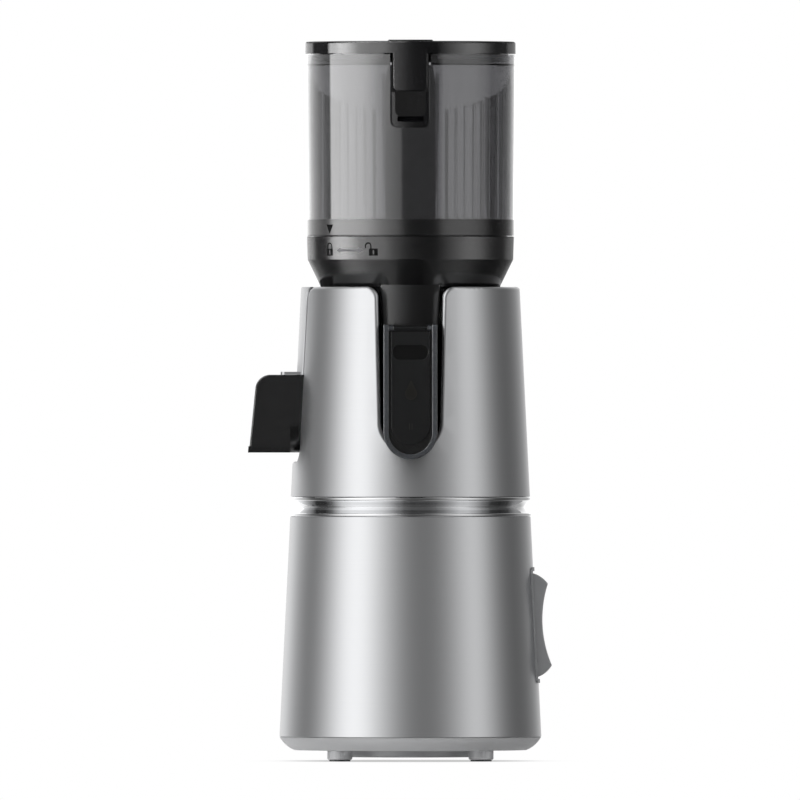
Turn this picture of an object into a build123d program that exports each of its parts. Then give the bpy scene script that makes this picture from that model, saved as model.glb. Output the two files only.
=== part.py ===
from build123d import *
from math import acos, atan, cos, hypot, pi, radians, sin, tan
import os

os.makedirs("parts", exist_ok=True)

# Frame: +Z up, the foot pads stand on z = 0, the drive axis is the Z axis.
# The juice spout faces -Y, the pulp spout -X, the rocker switch +X, the cord +Y.

# ------------------------------------------------------------ driving dimensions, millimetres
running = 0.05           # radial clearance of a shaft turning in its bearing
gap = 0.4                # clearance between pieces that part or move
wall = 2.2               # thickness of the metal skins

# Metal body, two cones that meet at the chrome ring
base_radius = 87.3
shell_bottom = 16.0
ring_bottom = 162.6
ring_top = 176.1
shell_top = 315.7
lower_top_radius = 80.1
upper_bottom_radius = 79.7
shell_top_radius = 72.8
lower_taper = (base_radius - lower_top_radius) / (ring_bottom - shell_bottom)
upper_taper = (upper_bottom_radius - shell_top_radius) / (shell_top - ring_top)

# Underside
plate_flat = 7.1
cover_radius = 48.0
cover_bottom = 2.5
foot_offset = 47.0
foot_radius = 8.3
pad_radius = 7.0
pad_height = 1.0
screw_circle = 72.0
screw_radius = 1.7
screw_head_radius = 3.2
screw_sink = 1.4         # depth of the heads' recesses in the plate
post_bottom = 10.2
gland_z = 34.0

# Slots in the upper shell: the front one has a round bottom, the left one a squarer bottom
slot_corner = 8.0
front_slot_half = 21.2
front_slot_half_low = 19.4
front_slot_bottom = 207.0
front_slot_turn = 18.7
side_slot_half = 24.4
side_slot_half_low = 23.4
side_slot_bottom = 199.5
side_slot_turn = 8.0
lip_depth = 8.0
edge_roll = 2.2          # rounding of the upper skin's visible edges

# Cradle and bowl
cradle_flange = 176.4
cradle_radius = 57.0
cradle_floor = 209.1
bowl_bottom = 209.5
bowl_floor = 212.5
bowl_radius = 54.5
bowl_wall = 2.5
bowl_seam = 349.4
bowl_ring_bottom = 333.9
bowl_ring_radius = 69.0
cone_bottom = 317.0
cone_bottom_radius = 60.2
nose_half = 20.0
nose_low = 209.5

# Juice spout and its flap
spout_half = 17.9
spout_wall = 3.5
spout_top = 290.4
spout_bottom = 200.9
spout_front = 104.5
channel_bottom = 208.3
port_half = 10.5
port_bottom = 212.4
flap_half = 12.8
flap_bottom = 210.7
flap_hinge_z = 288.0
flap_hinge_y = -101.6
flap_barrel = 1.9
flap_thickness = 2.8
knuckle_inner = 11.6

# Pulp spout and the metal cover above it
hood_top = 257.2
hood_bottom = 205.4
hood_reach = 107.6
hood_top_reach = 102.4
hood_corner = 10.0
hood_half = 20.0
hood_wall = 2.2
ledge_reach = 86.5
pulp_port_z = 232.0

# Hopper and lid
hopper_bottom = 349.8
collar_top = 360.6
hopper_top = 470.4
hopper_bottom_radius = 69.1
hopper_top_radius = 70.1
hopper_wall = 2.6
mouth_radius = 66.4
rib_count = 60
pocket_half = 13.5
pocket_bottom = 421.4
channel_half = 16.5
twist = 30.0             # turn of the hopper between its locked and open marks, degrees
lid_bottom = 471.1
lid_top = 479.2
lid_radius = 70.1
tab_half = 11.3
tab_bottom = 445.8
lid_hinge_y = 74.0
lid_hinge_z = 470.0

# Rocker switch
rocker_z = 90.4
rocker_half_width = 14.0
rocker_half_length = 34.75
rocker_crest = 9.3
rocker_waist = 4.4
rocker_pivot_depth = 6.0
bezel_half_width = 17.6
bezel_half_length = 38.6

# Drive train: two stages of twelve teeth into sixty
module = 1.0
pinion_teeth = 12
wheel_teeth = 60
pressure_angle = radians(25)
backlash = 0.3
shaft_radius = 4.0
gearbox_floor = 112.0
gearbox_top = 150.0
first_stage_z = 118.0
second_stage_z = 130.5
gear_width = 9.0
centre_distance = module * (pinion_teeth + wheel_teeth) / 2

# Strainer and auger
strainer_radius = 47.5
strainer_wall = 1.4
strainer_bottom = 214.5
strainer_top = 302.0
auger_radius = 44.0
auger_bottom = 216.0
auger_top = 302.0
flight_pitch = 34.0
flight_turns = 2.2

# ------------------------------------------------------------ planes and shared shapes
UP = (Align.CENTER, Align.CENTER, Align.MIN)
FRONT = Plane.XZ
LEFT = Plane(origin=(0, 0, 0), x_dir=(0, -1, 0), z_dir=(-1, 0, 0))
RIGHT = Plane.YZ
BACK = Plane(origin=(0, 0, 0), x_dir=(-1, 0, 0), z_dir=(0, 1, 0))


def shell_radius(z):
    """Outer radius of the metal body at height z."""
    if z < (ring_bottom + ring_top) / 2:
        return base_radius - (z - shell_bottom) * lower_taper
    return shell_top_radius + (shell_top - z) * upper_taper


def on_skin(edge):
    """Whether a curved edge lies on the metal body's outer face, above the chrome ring."""
    spots = [edge @ share for share in (0.1, 0.5, 0.9)]
    off = max(abs(hypot(spot.X, spot.Y) - shell_radius(spot.Z)) for spot in spots)
    return off < 0.02 and spots[1].Z > ring_top + 1 and edge.geom_type != GeomType.LINE


def turned(*outline):
    """A solid turned about Z, from the radius and height of each corner of its half section."""
    with BuildPart() as blank:
        with BuildSketch(Plane.XZ):
            with BuildLine():
                Polyline(*outline, close=True)
            make_face()
        revolve(axis=Axis.Z)
    return blank.part


def tube(outer, inner, bottom, top):
    """A plain ring about Z."""
    return turned((outer, bottom), (outer, top), (inner, top), (inner, bottom))


def slot_plug(plane, half, half_low, bottom, turn, margin):
    """The plug that fills a slot of the upper shell, grown all round by margin; turn rounds its bottom."""
    low = bottom + turn
    turn_centre = half_low - turn
    turn_middle = (turn + margin) * cos(pi / 4)
    arc_centre = half + slot_corner
    arc_radius = slot_corner - margin
    arc_middle = arc_radius * cos(pi / 4)
    shoulder = shell_top - slot_corner
    with BuildPart() as plug:
        with BuildSketch(plane):
            with BuildLine():
                for side in (-1, 1):
                    foot = (side * turn_centre, bottom - margin)
                    bend = (side * (turn_centre + turn_middle), low - turn_middle)
                    side_low = (side * (half_low + margin), low)
                    edge = (side * (half + margin), shoulder)
                    crown = (side * arc_centre, shoulder + arc_radius)
                    middle = (side * (arc_centre - arc_middle), shoulder + arc_middle)
                    ThreePointArc(foot, bend, side_low)
                    Line(side_low, edge)
                    ThreePointArc(edge, middle, crown)
                    Line(crown, (side * arc_centre, shell_top + 10))
                Line((-arc_centre, shell_top + 10), (arc_centre, shell_top + 10))
                Line((-turn_centre, bottom - margin), (turn_centre, bottom - margin))
            make_face()
        extrude(amount=base_radius + 20)
    return plug.part


def front_plug(margin):
    """The front slot's plug."""
    return slot_plug(FRONT, front_slot_half, front_slot_half_low, front_slot_bottom, front_slot_turn, margin)


def side_plug(margin):
    """The left slot's plug."""
    return slot_plug(LEFT, side_slot_half, side_slot_half_low, side_slot_bottom, side_slot_turn, margin)


def u_plug(plane, half, bottom, top, start, end):
    """A bar of U-shaped section, round below and flat above, out from start to end along the plane's normal."""
    with BuildPart() as bar:
        with BuildSketch(plane.offset(start)):
            with BuildLine():
                Polyline((-half, bottom + half), (-half, top), (half, top), (half, bottom + half))
                ThreePointArc((-half, bottom + half), (0, bottom), (half, bottom + half))
            make_face()
        extrude(amount=end - start)
    return bar.part


# ============================================================ metal body
with BuildPart() as lower_shell:
    add(turned(
        (base_radius - 0.4, shell_bottom),
        (base_radius, shell_bottom + 0.4),
        (lower_top_radius, ring_bottom),
        (lower_top_radius - wall, ring_bottom),
        (base_radius - wall, shell_bottom),
    ))
    with BuildSketch(RIGHT.offset(60)):
        with Locations((0, rocker_z)):
            RectangleRounded(2 * bezel_half_width - 1.8, 2 * bezel_half_length - 1.8, 4)
    extrude(amount=40, mode=Mode.SUBTRACT)
    with BuildSketch(BACK.offset(60)):
        with Locations((0, gland_z)):
            Circle(6.6)
    extrude(amount=40, mode=Mode.SUBTRACT)
    # posts that the base screws bite into, each on a rib from the skin
    with BuildSketch(Plane.XY.offset(post_bottom)):
        with PolarLocations(screw_circle, 4, start_angle=27):
            Circle(4.5)
    extrude(amount=34)
    with BuildSketch(Plane.XY.offset(post_bottom + 16.2)):
        with PolarLocations(screw_circle + 6, 4, start_angle=27):
            Rectangle(14, 2.4)
    extrude(amount=17.8)
    with BuildSketch(Plane.XY.offset(post_bottom)):
        with PolarLocations(screw_circle, 4, start_angle=27):
            Circle(screw_radius)
    extrude(amount=12, mode=Mode.SUBTRACT)
lower_shell.part.label = "lower_shell"
export_step(lower_shell.part, "parts/lower_shell.step")

# The upper skin turns inwards at its top and along both slots, as a folded edge.
fold_room = turned(
    (upper_bottom_radius, ring_top),
    (shell_top_radius, shell_top),
    (shell_top_radius - lip_depth, shell_top),
    (upper_bottom_radius - lip_depth, ring_top),
)
with BuildPart() as front_fold:
    add(front_plug(wall))
    add(fold_room, mode=Mode.INTERSECT)

with BuildPart() as side_fold:
    add(side_plug(wall))
    add(fold_room, mode=Mode.INTERSECT)

with BuildPart() as upper_shell:
    add(turned(
        (upper_bottom_radius, ring_top),
        (shell_top_radius, shell_top),
        (cradle_radius + 5.8, shell_top),
        (cradle_radius + 5.8, shell_top - wall),
        (shell_top_radius - wall, shell_top - wall),
        (upper_bottom_radius - wall, ring_top),
    ))
    add(front_fold.part)
    add(side_fold.part)
    add(front_plug(0), mode=Mode.SUBTRACT)
    add(side_plug(0), mode=Mode.SUBTRACT)
    fillet([edge for edge in upper_shell.edges() if on_skin(edge)], edge_roll)
upper_shell.part.label = "upper_shell"
export_step(upper_shell.part, "parts/upper_shell.step")

# Chrome ring: two rounded lips with a groove between them, and a spigot into each shell.
with BuildPart() as trim_ring:
    with BuildSketch(Plane.XZ):
        with BuildLine():
            Polyline((74.6, 154.0), (77.4, 154.0), (77.4, ring_bottom + 0.1), (79.6, ring_bottom + 0.1))
            ThreePointArc((79.6, ring_bottom + 0.1), (80.75, 163.9), (80.0, 165.1))
            ThreePointArc((80.0, 165.1), (77.4, 167.3), (76.0, 169.3))
            ThreePointArc((76.0, 169.3), (77.2, 171.3), (79.6, 173.4))
            ThreePointArc((79.6, 173.4), (80.2, 174.5), (79.2, ring_top - 0.1))
            Polyline(
                (79.2, ring_top - 0.1),
                (77.0, ring_top - 0.1),
                (76.6, 186.0),
                (74.6, 186.0),
                (74.6, cradle_flange),
                (70.0, cradle_flange),
                (70.0, cradle_flange - 3),
                (74.6, cradle_flange - 6),
                (74.6, 154.0),
            )
        make_face()
    revolve(axis=Axis.Z)
trim_ring.part.label = "trim_ring"
export_step(trim_ring.part, "parts/trim_ring.step")

# ============================================================ underside
plate_top = 15.8
with BuildPart() as base_plate:
    with BuildSketch(Plane.XZ):
        with BuildLine():
            Line((0, plate_flat), (77.4, plate_flat))
            ThreePointArc((77.4, plate_flat), (82.9, 10.5), (base_radius - 0.2, plate_top))
            Polyline(
                (base_radius - 0.2, plate_top),
                (84.6, plate_top),
                (84.1, 24.4),
                (81.8, 24.4),
                (81.8, 14.0),
                (76.0, plate_flat + 2.6),
                (0, plate_flat + 2.6),
                (0, plate_flat),
            )
        make_face()
    revolve(axis=Axis.Z)
    # air slots between the feet
    with BuildSketch(Plane.XY.offset(plate_flat)):
        with PolarLocations(62, 4):
            with GridLocations(6, 0, 4, 1):
                SlotOverall(26, 2.6, rotation=90)
    extrude(amount=10, mode=Mode.SUBTRACT)
    # holes of the screws that hold the plate, wider below so that their heads lie inside it
    for hole_radius, hole_depth in ((screw_radius + 0.3, 10), (screw_head_radius + 0.3, screw_sink)):
        with BuildSketch(Plane.XY.offset(plate_flat)):
            with PolarLocations(screw_circle, 4, start_angle=27):
                Circle(hole_radius)
        extrude(amount=hole_depth, mode=Mode.SUBTRACT)
base_plate.part.label = "base_plate"
export_step(base_plate.part, "parts/base_plate.step")

with BuildPart() as bottom_cover:
    add(turned(
        (0, cover_bottom),
        (cover_radius - 1.2, cover_bottom),
        (cover_radius, cover_bottom + 1.2),
        (cover_radius, plate_flat),
        (0, plate_flat),
    ))
bottom_cover.part.label = "bottom_cover"
export_step(bottom_cover.part, "parts/bottom_cover.step")

corners = {
    "foot_front_left": (-foot_offset, -foot_offset),
    "foot_front_right": (foot_offset, -foot_offset),
    "foot_rear_left": (-foot_offset, foot_offset),
    "foot_rear_right": (foot_offset, foot_offset),
}
for foot_name, (foot_x, foot_y) in corners.items():
    with BuildPart() as foot:
        with Locations((foot_x, foot_y, pad_height)):
            Cylinder(foot_radius, plate_flat - pad_height, align=UP)
        chamfer(foot.faces().sort_by(Axis.Z)[0].edges(), 0.7)
    foot.part.label = foot_name
    export_step(foot.part, f"parts/{foot_name}.step")

with BuildPart() as foot_pads:
    with Locations(*[(foot_x, foot_y, 0) for foot_x, foot_y in corners.values()]):
        Cylinder(pad_radius, pad_height, align=UP)
foot_pads.part.label = "foot_pads"
export_step(foot_pads.part, "parts/foot_pads.step")

with BuildPart() as base_screws:
    with BuildSketch(Plane.XY.offset(plate_flat + 0.2)):
        with PolarLocations(screw_circle, 4, start_angle=27):
            Circle(screw_head_radius)
    extrude(amount=screw_sink - 0.2)
    with BuildSketch(Plane.XY.offset(plate_flat + screw_sink)):
        with PolarLocations(screw_circle, 4, start_angle=27):
            Circle(screw_radius)
    extrude(amount=12.6)
base_screws.part.label = "base_screws"
export_step(base_screws.part, "parts/base_screws.step")

# ============================================================ cradle that takes the bowl
cheek_bottom = ring_top + 12
cheek_top = shell_top - wall - gap
cheek_room = turned(
    (shell_radius(cheek_bottom) - wall - gap, cheek_bottom),
    (shell_radius(cheek_top) - wall - gap, cheek_top),
    (cradle_radius + 6, cheek_top),
    (cradle_radius + 6, 310.0),
    (cradle_radius + 1, 298.0),
    (cradle_radius + 1, cheek_bottom),
)
with BuildPart() as front_cheeks:
    add(front_plug(4.8))
    add(front_plug(2.6), mode=Mode.SUBTRACT)
    add(cheek_room, mode=Mode.INTERSECT)

with BuildPart() as side_cheeks:
    add(side_plug(4.8))
    add(side_plug(2.6), mode=Mode.SUBTRACT)
    add(cheek_room, mode=Mode.INTERSECT)

with BuildPart() as cradle:
    add(turned(
        (14.0, cradle_floor),
        (cradle_radius, cradle_floor),
        (cradle_radius, 298.0),
        (cradle_radius + 5.2, 310.0),
        (cradle_radius + 5.2, shell_top - wall - 0.1),
        (cradle_radius + 7.2, shell_top - wall - 0.1),
        (cradle_radius + 7.2, 309.4),
        (cradle_radius + 2.0, 297.4),
        (cradle_radius + 2.0, 179.0),
        (74.2, 179.0),
        (74.2, cradle_flange),
        (cradle_radius, cradle_flange),
        (cradle_radius, cradle_floor - 3.0),
        (14.0, cradle_floor - 3.0),
    ))
    add(front_plug(2.6), mode=Mode.SUBTRACT)
    add(side_plug(2.6), mode=Mode.SUBTRACT)
    add(front_cheeks.part)
    add(side_cheeks.part)
cradle.part.label = "cradle"
export_step(cradle.part, "parts/cradle.step")

# ============================================================ rocker switch
tilt = atan(lower_taper)
rocker_plane = Plane(
    origin=(shell_radius(rocker_z), 0, rocker_z),
    x_dir=(cos(tilt), 0, sin(tilt)),
    z_dir=(0, -1, 0),
)
facing_plane = Plane(
    origin=(shell_radius(rocker_z), 0, rocker_z),
    x_dir=(0, 1, 0),
    z_dir=(cos(tilt), 0, sin(tilt)),
)



def on_rocker_rim(edge):
    """Whether an edge bounds the rocker's face along one of its long sides."""
    middle = edge @ 0.5
    return abs(abs(middle.Y) - rocker_half_width) < 0.01 and middle.X > shell_radius(middle.Z) + 2


with BuildPart() as rocker:
    with BuildSketch(rocker_plane):
        with BuildLine():
            for end in (-1, 1):
                crest = (rocker_crest, end * 27.2)
                heel = (-0.9, end * rocker_half_length)
                ThreePointArc(crest, (4.9, end * 31.9), heel)
                Line(heel, (-rocker_pivot_depth, end * 33.0))
            ThreePointArc((rocker_crest, -27.2), (rocker_waist, 0), (rocker_crest, 27.2))
            Line((-rocker_pivot_depth, -33.0), (-rocker_pivot_depth, 33.0))
        make_face()
    extrude(amount=rocker_half_width, both=True)
    fillet(rocker.edges().filter_by(Axis.Y).group_by(SortBy.DISTANCE)[-1], 0.8)
    fillet([edge for edge in rocker.edges() if on_rocker_rim(edge)], 0.9)
    with BuildSketch(rocker_plane):
        with Locations((-rocker_pivot_depth, 0)):
            Circle(4.6)
    extrude(amount=rocker_half_width, both=True)
    with BuildSketch(rocker_plane):
        with Locations((-rocker_pivot_depth, 0)):
            Circle(2.0 + running)
    extrude(amount=rocker_half_width, both=True, mode=Mode.SUBTRACT)
rocker.part.label = "rocker"
export_step(rocker.part, "parts/rocker.step")

bezel_depth = 15.0
with BuildPart() as rocker_bezel:
    # a thin flange on the skin, and a box behind it that the rocker swings in
    add(turned(
        (shell_radius(45) + 0.9, 45),
        (shell_radius(136) + 0.9, 136),
        (shell_radius(136) + 0.05, 136),
        (shell_radius(45) + 0.05, 45),
    ))
    with BuildSketch(facing_plane.offset(-20)):
        RectangleRounded(2 * bezel_half_width, 2 * bezel_half_length, 5)
    extrude(amount=40, mode=Mode.INTERSECT)
    with BuildSketch(facing_plane.offset(-bezel_depth)):
        RectangleRounded(2 * bezel_half_width - 2.2, 2 * bezel_half_length - 2.2, 4)
    extrude(amount=bezel_depth - 0.3)
    with BuildSketch(facing_plane.offset(2 - bezel_depth)):
        RectangleRounded(2 * rocker_half_width + 1.2, 2 * rocker_half_length + 2.6, 2)
    extrude(amount=30, mode=Mode.SUBTRACT)
    with BuildSketch(rocker_plane):
        with Locations((-rocker_pivot_depth, 0)):
            Circle(2.0)
    extrude(amount=bezel_half_width - 1.1, both=True, mode=Mode.SUBTRACT)
rocker_bezel.part.label = "rocker_bezel"
export_step(rocker_bezel.part, "parts/rocker_bezel.step")

with BuildPart() as rocker_pin:
    with BuildSketch(rocker_plane):
        with Locations((-rocker_pivot_depth, 0)):
            Circle(2.0)
    extrude(amount=bezel_half_width - 1.1, both=True)
rocker_pin.part.label = "rocker_pin"
export_step(rocker_pin.part, "parts/rocker_pin.step")

with BuildPart() as power_switch:
    with BuildSketch(facing_plane.offset(-bezel_depth)):
        Rectangle(22, 36)
    extrude(amount=-11)
    with BuildSketch(facing_plane.offset(-bezel_depth - 11)):
        with GridLocations(10, 12, 2, 3):
            Rectangle(1.0, 5.0)
    extrude(amount=-5)
power_switch.part.label = "power_switch"
export_step(power_switch.part, "parts/power_switch.step")

# ============================================================ motor
with BuildPart() as motor_can:
    add(turned(
        (41.0, 46.0), (41.0, gearbox_floor), (12.2, gearbox_floor), (12.2, gearbox_floor - 2.4),
        (38.6, gearbox_floor - 2.4), (38.6, 46.0),
    ))
motor_can.part.label = "motor_can"
export_step(motor_can.part, "parts/motor_can.step")

with BuildPart() as motor_end_bell:
    add(turned(
        (41.0, 46.0), (41.0, 40.0), (14.0, 34.0), (8.2, 34.0), (8.2, 36.0), (11.0, 36.0),
        (11.0, 43.2), (13.2, 43.2), (13.2, 37.2), (38.6, 43.0), (38.6, 46.0),
    ))
    with BuildSketch(Plane.XY.offset(30)):
        with PolarLocations(26, 6):
            SlotOverall(14, 5)
    extrude(amount=20, mode=Mode.SUBTRACT)
motor_end_bell.part.label = "motor_end_bell"
export_step(motor_end_bell.part, "parts/motor_end_bell.step")

with BuildPart() as stator:
    add(tube(38.4, 22.0, 54.0, 98.0))
    # slots that the windings lie in
    with BuildSketch(Plane.XY.offset(54)):
        with PolarLocations(27, 12):
            Rectangle(7, 4)
    extrude(amount=44, mode=Mode.SUBTRACT)
stator.part.label = "stator"
export_step(stator.part, "parts/stator.step")

with BuildPart() as windings:
    add(tube(34.0, 23.4, 48.0, 53.8))
    add(tube(34.0, 23.4, 98.2, 104.0))
    with BuildSketch(Plane.XY.offset(53.8)):
        with PolarLocations(27, 12):
            Rectangle(6.6, 3.6)
    extrude(amount=44.4)
windings.part.label = "windings"
export_step(windings.part, "parts/windings.step")

with BuildPart() as rotor_core:
    add(tube(21.5, shaft_radius, 54.0, 98.0))
rotor_core.part.label = "rotor_core"
export_step(rotor_core.part, "parts/rotor_core.step")


def bearing(inner, outer, bottom, height):
    """A sealed ball bearing: two races joined by a thinner shield."""
    race = (outer - inner) / 4
    return turned(
        (inner, bottom),
        (inner + race, bottom),
        (inner + race, bottom + 0.5),
        (outer - race, bottom + 0.5),
        (outer - race, bottom),
        (outer, bottom),
        (outer, bottom + height),
        (outer - race, bottom + height),
        (outer - race, bottom + height - 0.5),
        (inner + race, bottom + height - 0.5),
        (inner + race, bottom + height),
        (inner, bottom + height),
    )


with BuildPart() as lower_bearing:
    add(bearing(shaft_radius + running, 11.0, 36.0, 7.0))
lower_bearing.part.label = "lower_bearing"
export_step(lower_bearing.part, "parts/lower_bearing.step")

with BuildPart() as upper_bearing:
    add(bearing(shaft_radius + running, 11.0, gearbox_floor - 4.0, 7.0))
upper_bearing.part.label = "upper_bearing"
export_step(upper_bearing.part, "parts/upper_bearing.step")

fan_bottom = 20.0
with BuildPart() as cooling_fan:
    add(tube(8.0, shaft_radius, fan_bottom, fan_bottom + 11.0))
    add(tube(34.0, 7.0, fan_bottom + 9.6, fan_bottom + 11.0))
    with BuildSketch(Plane.XY.offset(fan_bottom)):
        with PolarLocations(20, 9):
            Rectangle(26, 1.4, rotation=12)
    extrude(amount=10)
cooling_fan.part.label = "cooling_fan"
export_step(cooling_fan.part, "parts/cooling_fan.step")

# ============================================================ gears


def gear_sketch(teeth, phase):
    """Outline of a spur gear: involute flanks, each drawn from root to tip by four points."""
    pitch_radius = module * teeth / 2
    base = pitch_radius * cos(pressure_angle)
    root = pitch_radius - 1.2 * module
    tip = pitch_radius + 0.9 * module
    half_at_pitch = pi / (2 * teeth) - backlash / (4 * pitch_radius)
    roll = tan(pressure_angle) - pressure_angle
    start = max(base, root)
    levels = (root, start + 0.02, (start + tip) / 2, tip)
    flank = []
    for level in levels:
        lean = acos(min(1, base / level))
        flank.append((level, half_at_pitch + roll - (tan(lean) - lean)))
    outline = []
    for tooth in range(teeth):
        middle = 2 * pi * tooth / teeth + radians(phase)
        for level, half in flank:
            outline.append((level * cos(middle - half), level * sin(middle - half)))
        for level, half in reversed(flank):
            outline.append((level * cos(middle + half), level * sin(middle + half)))
    with BuildSketch() as gear:
        with BuildLine():
            Polyline(*outline, close=True)
        make_face()
    return gear.sketch


half_tooth = 180 / wheel_teeth

with BuildPart() as motor_shaft:
    with Locations((0, 0, fan_bottom - 2)):
        Cylinder(shaft_radius, first_stage_z - fan_bottom + 2, align=UP)
    with BuildSketch(Plane.XY.offset(first_stage_z)):
        add(gear_sketch(pinion_teeth, 0))
    extrude(amount=gear_width + 1)
motor_shaft.part.label = "motor_shaft"
export_step(motor_shaft.part, "parts/motor_shaft.step")

with BuildPart() as idler_gear:
    with BuildSketch(Plane.XY.offset(first_stage_z + 0.5)):
        with Locations((0, centre_distance)):
            add(gear_sketch(wheel_teeth, half_tooth))
    extrude(amount=gear_width)
    with BuildSketch(Plane.XY.offset(first_stage_z + gear_width)):
        with Locations((0, centre_distance)):
            add(gear_sketch(pinion_teeth, 0))
    extrude(amount=second_stage_z + 1 - first_stage_z)
    with Locations((0, centre_distance, gearbox_floor + 3.3)):
        Cylinder(5.0, 4, align=UP)
    with Locations((0, centre_distance, first_stage_z)):
        Cylinder(3.0 + running, 60, mode=Mode.SUBTRACT)
    with BuildSketch(Plane.XY.offset(first_stage_z + 0.5)):
        with Locations((0, centre_distance)):
            with PolarLocations(18, 6):
                Circle(5)
    extrude(amount=gear_width, mode=Mode.SUBTRACT)
idler_gear.part.label = "idler_gear"
export_step(idler_gear.part, "parts/idler_gear.step")

with BuildPart() as idler_pin:
    with Locations((0, centre_distance, gearbox_floor)):
        Cylinder(3.0, gearbox_top + 4 - gearbox_floor, align=UP)
idler_pin.part.label = "idler_pin"
export_step(idler_pin.part, "parts/idler_pin.step")

ear_spacing = 83.0
hex_half = 5.2
hex_bottom = 223.0
drive_top = 240.0
with BuildPart() as output_gear:
    with BuildSketch(Plane.XY.offset(second_stage_z)):
        add(gear_sketch(wheel_teeth, half_tooth))
        Circle(6.0, mode=Mode.SUBTRACT)
        with PolarLocations(18, 6):
            Circle(5, mode=Mode.SUBTRACT)
    extrude(amount=gear_width)
output_gear.part.label = "output_gear"
export_step(output_gear.part, "parts/output_gear.step")

with BuildPart() as drive_shaft:
    with Locations((0, 0, second_stage_z - 1)):
        Cylinder(6.0, hex_bottom + 1 - second_stage_z, align=UP)
    with BuildSketch(Plane.XY.offset(hex_bottom)):
        RegularPolygon(hex_half, 6, major_radius=False)
    extrude(amount=drive_top - hex_bottom)
    chamfer(drive_shaft.faces().sort_by(Axis.Z)[-1].edges(), 0.8)
drive_shaft.part.label = "drive_shaft"
export_step(drive_shaft.part, "parts/drive_shaft.step")

# The case follows both wheels; its lid is a round plate with a neck, hung from the cradle on posts.
case_half = 34.5
case_wall = 2.6
with BuildPart() as gearbox_case:
    with BuildSketch(Plane.XY.offset(gearbox_floor)):
        with Locations((0, centre_distance / 2)):
            SlotCenterToCenter(centre_distance, 2 * (case_half + case_wall), rotation=90)
    extrude(amount=gearbox_top - gearbox_floor)
    with BuildSketch(Plane.XY.offset(gearbox_floor + 3)):
        with Locations((0, centre_distance / 2)):
            SlotCenterToCenter(centre_distance, 2 * case_half, rotation=90)
    extrude(amount=gearbox_top - gearbox_floor, mode=Mode.SUBTRACT)
    # ears for the lid's screws
    with BuildSketch(Plane.XY.offset(gearbox_top - 14)):
        with Locations((0, centre_distance / 2)):
            with GridLocations(ear_spacing, centre_distance, 2, 2):
                Circle(4.8)
                Circle(1.9, mode=Mode.SUBTRACT)
    extrude(amount=14)
    with Locations((0, 0, gearbox_floor)):
        Cylinder(11.0, 10, mode=Mode.SUBTRACT)
    with Locations((0, centre_distance, gearbox_floor)):
        Cylinder(3.0, 10, mode=Mode.SUBTRACT)
gearbox_case.part.label = "gearbox_case"
export_step(gearbox_case.part, "parts/gearbox_case.step")

with BuildPart() as gearbox_lid:
    add(turned(
        (73.0, gearbox_top),
        (73.0, gearbox_top + 4),
        (18.0, gearbox_top + 4),
        (18.0, 205.7),
        (14.0, 205.7),
        (14.0, 196.0),
        (6.6, 196.0),
        (6.6, 194.0),
        (14.0, 194.0),
        (14.0, gearbox_top),
    ))
    with Locations((0, centre_distance, gearbox_top)):
        Cylinder(3.0, 20, mode=Mode.SUBTRACT)
    with BuildSketch(Plane.XY.offset(gearbox_top)):
        with Locations((0, centre_distance / 2)):
            with GridLocations(ear_spacing, centre_distance, 2, 2):
                Circle(2.0)
    extrude(amount=4, mode=Mode.SUBTRACT)
    # posts up to the cradle's flange
    with BuildSketch(Plane.XY.offset(gearbox_top + 4)):
        with PolarLocations(64, 4):
            Circle(4.5)
    extrude(amount=cradle_flange - gearbox_top - 4)
gearbox_lid.part.label = "gearbox_lid"
export_step(gearbox_lid.part, "parts/gearbox_lid.step")

with BuildPart() as gearbox_screws:
    with BuildSketch(Plane.XY.offset(gearbox_top - 10)):
        with Locations((0, centre_distance / 2)):
            with GridLocations(ear_spacing, centre_distance, 2, 2):
                Circle(1.9)
    extrude(amount=14)
    with BuildSketch(Plane.XY.offset(gearbox_top + 4)):
        with Locations((0, centre_distance / 2)):
            with GridLocations(ear_spacing, centre_distance, 2, 2):
                Circle(3.4)
    extrude(amount=2.4)
gearbox_screws.part.label = "gearbox_screws"
export_step(gearbox_screws.part, "parts/gearbox_screws.step")

with BuildPart() as output_bearing:
    add(bearing(6.0 + running, 14.0, gearbox_top + 1.0, 8.0))
output_bearing.part.label = "output_bearing"
export_step(output_bearing.part, "parts/output_bearing.step")

with BuildPart() as neck_bearing:
    add(bearing(6.0 + running, 14.0, 196.0, 8.0))
neck_bearing.part.label = "neck_bearing"
export_step(neck_bearing.part, "parts/neck_bearing.step")

# ============================================================ electrics
with BuildPart() as control_board:
    with Locations((51, 0, gearbox_top - 30)):
        Box(1.6, 46, 60)
    with Locations((47.7, 14, 130)):
        Box(5, 12, 16)
    with Locations((53.8, -17, 140)):
        Box(4, 10, 12)
    with Locations((47.7, -12, 106)):
        Box(5, 16, 10)
control_board.part.label = "control_board"
export_step(control_board.part, "parts/control_board.step")

with BuildPart() as run_capacitor:
    with Locations((-58, 18, gearbox_top - 58)):
        Cylinder(13, 58, align=UP)
    fillet(run_capacitor.edges().sort_by(Axis.Z)[0], 2)
run_capacitor.part.label = "run_capacitor"
export_step(run_capacitor.part, "parts/run_capacitor.step")

with BuildPart() as reed_switch:
    with Locations((34, 0, cradle_floor - 6)):
        Box(16, 6, 6)
reed_switch.part.label = "reed_switch"
export_step(reed_switch.part, "parts/reed_switch.step")

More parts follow.
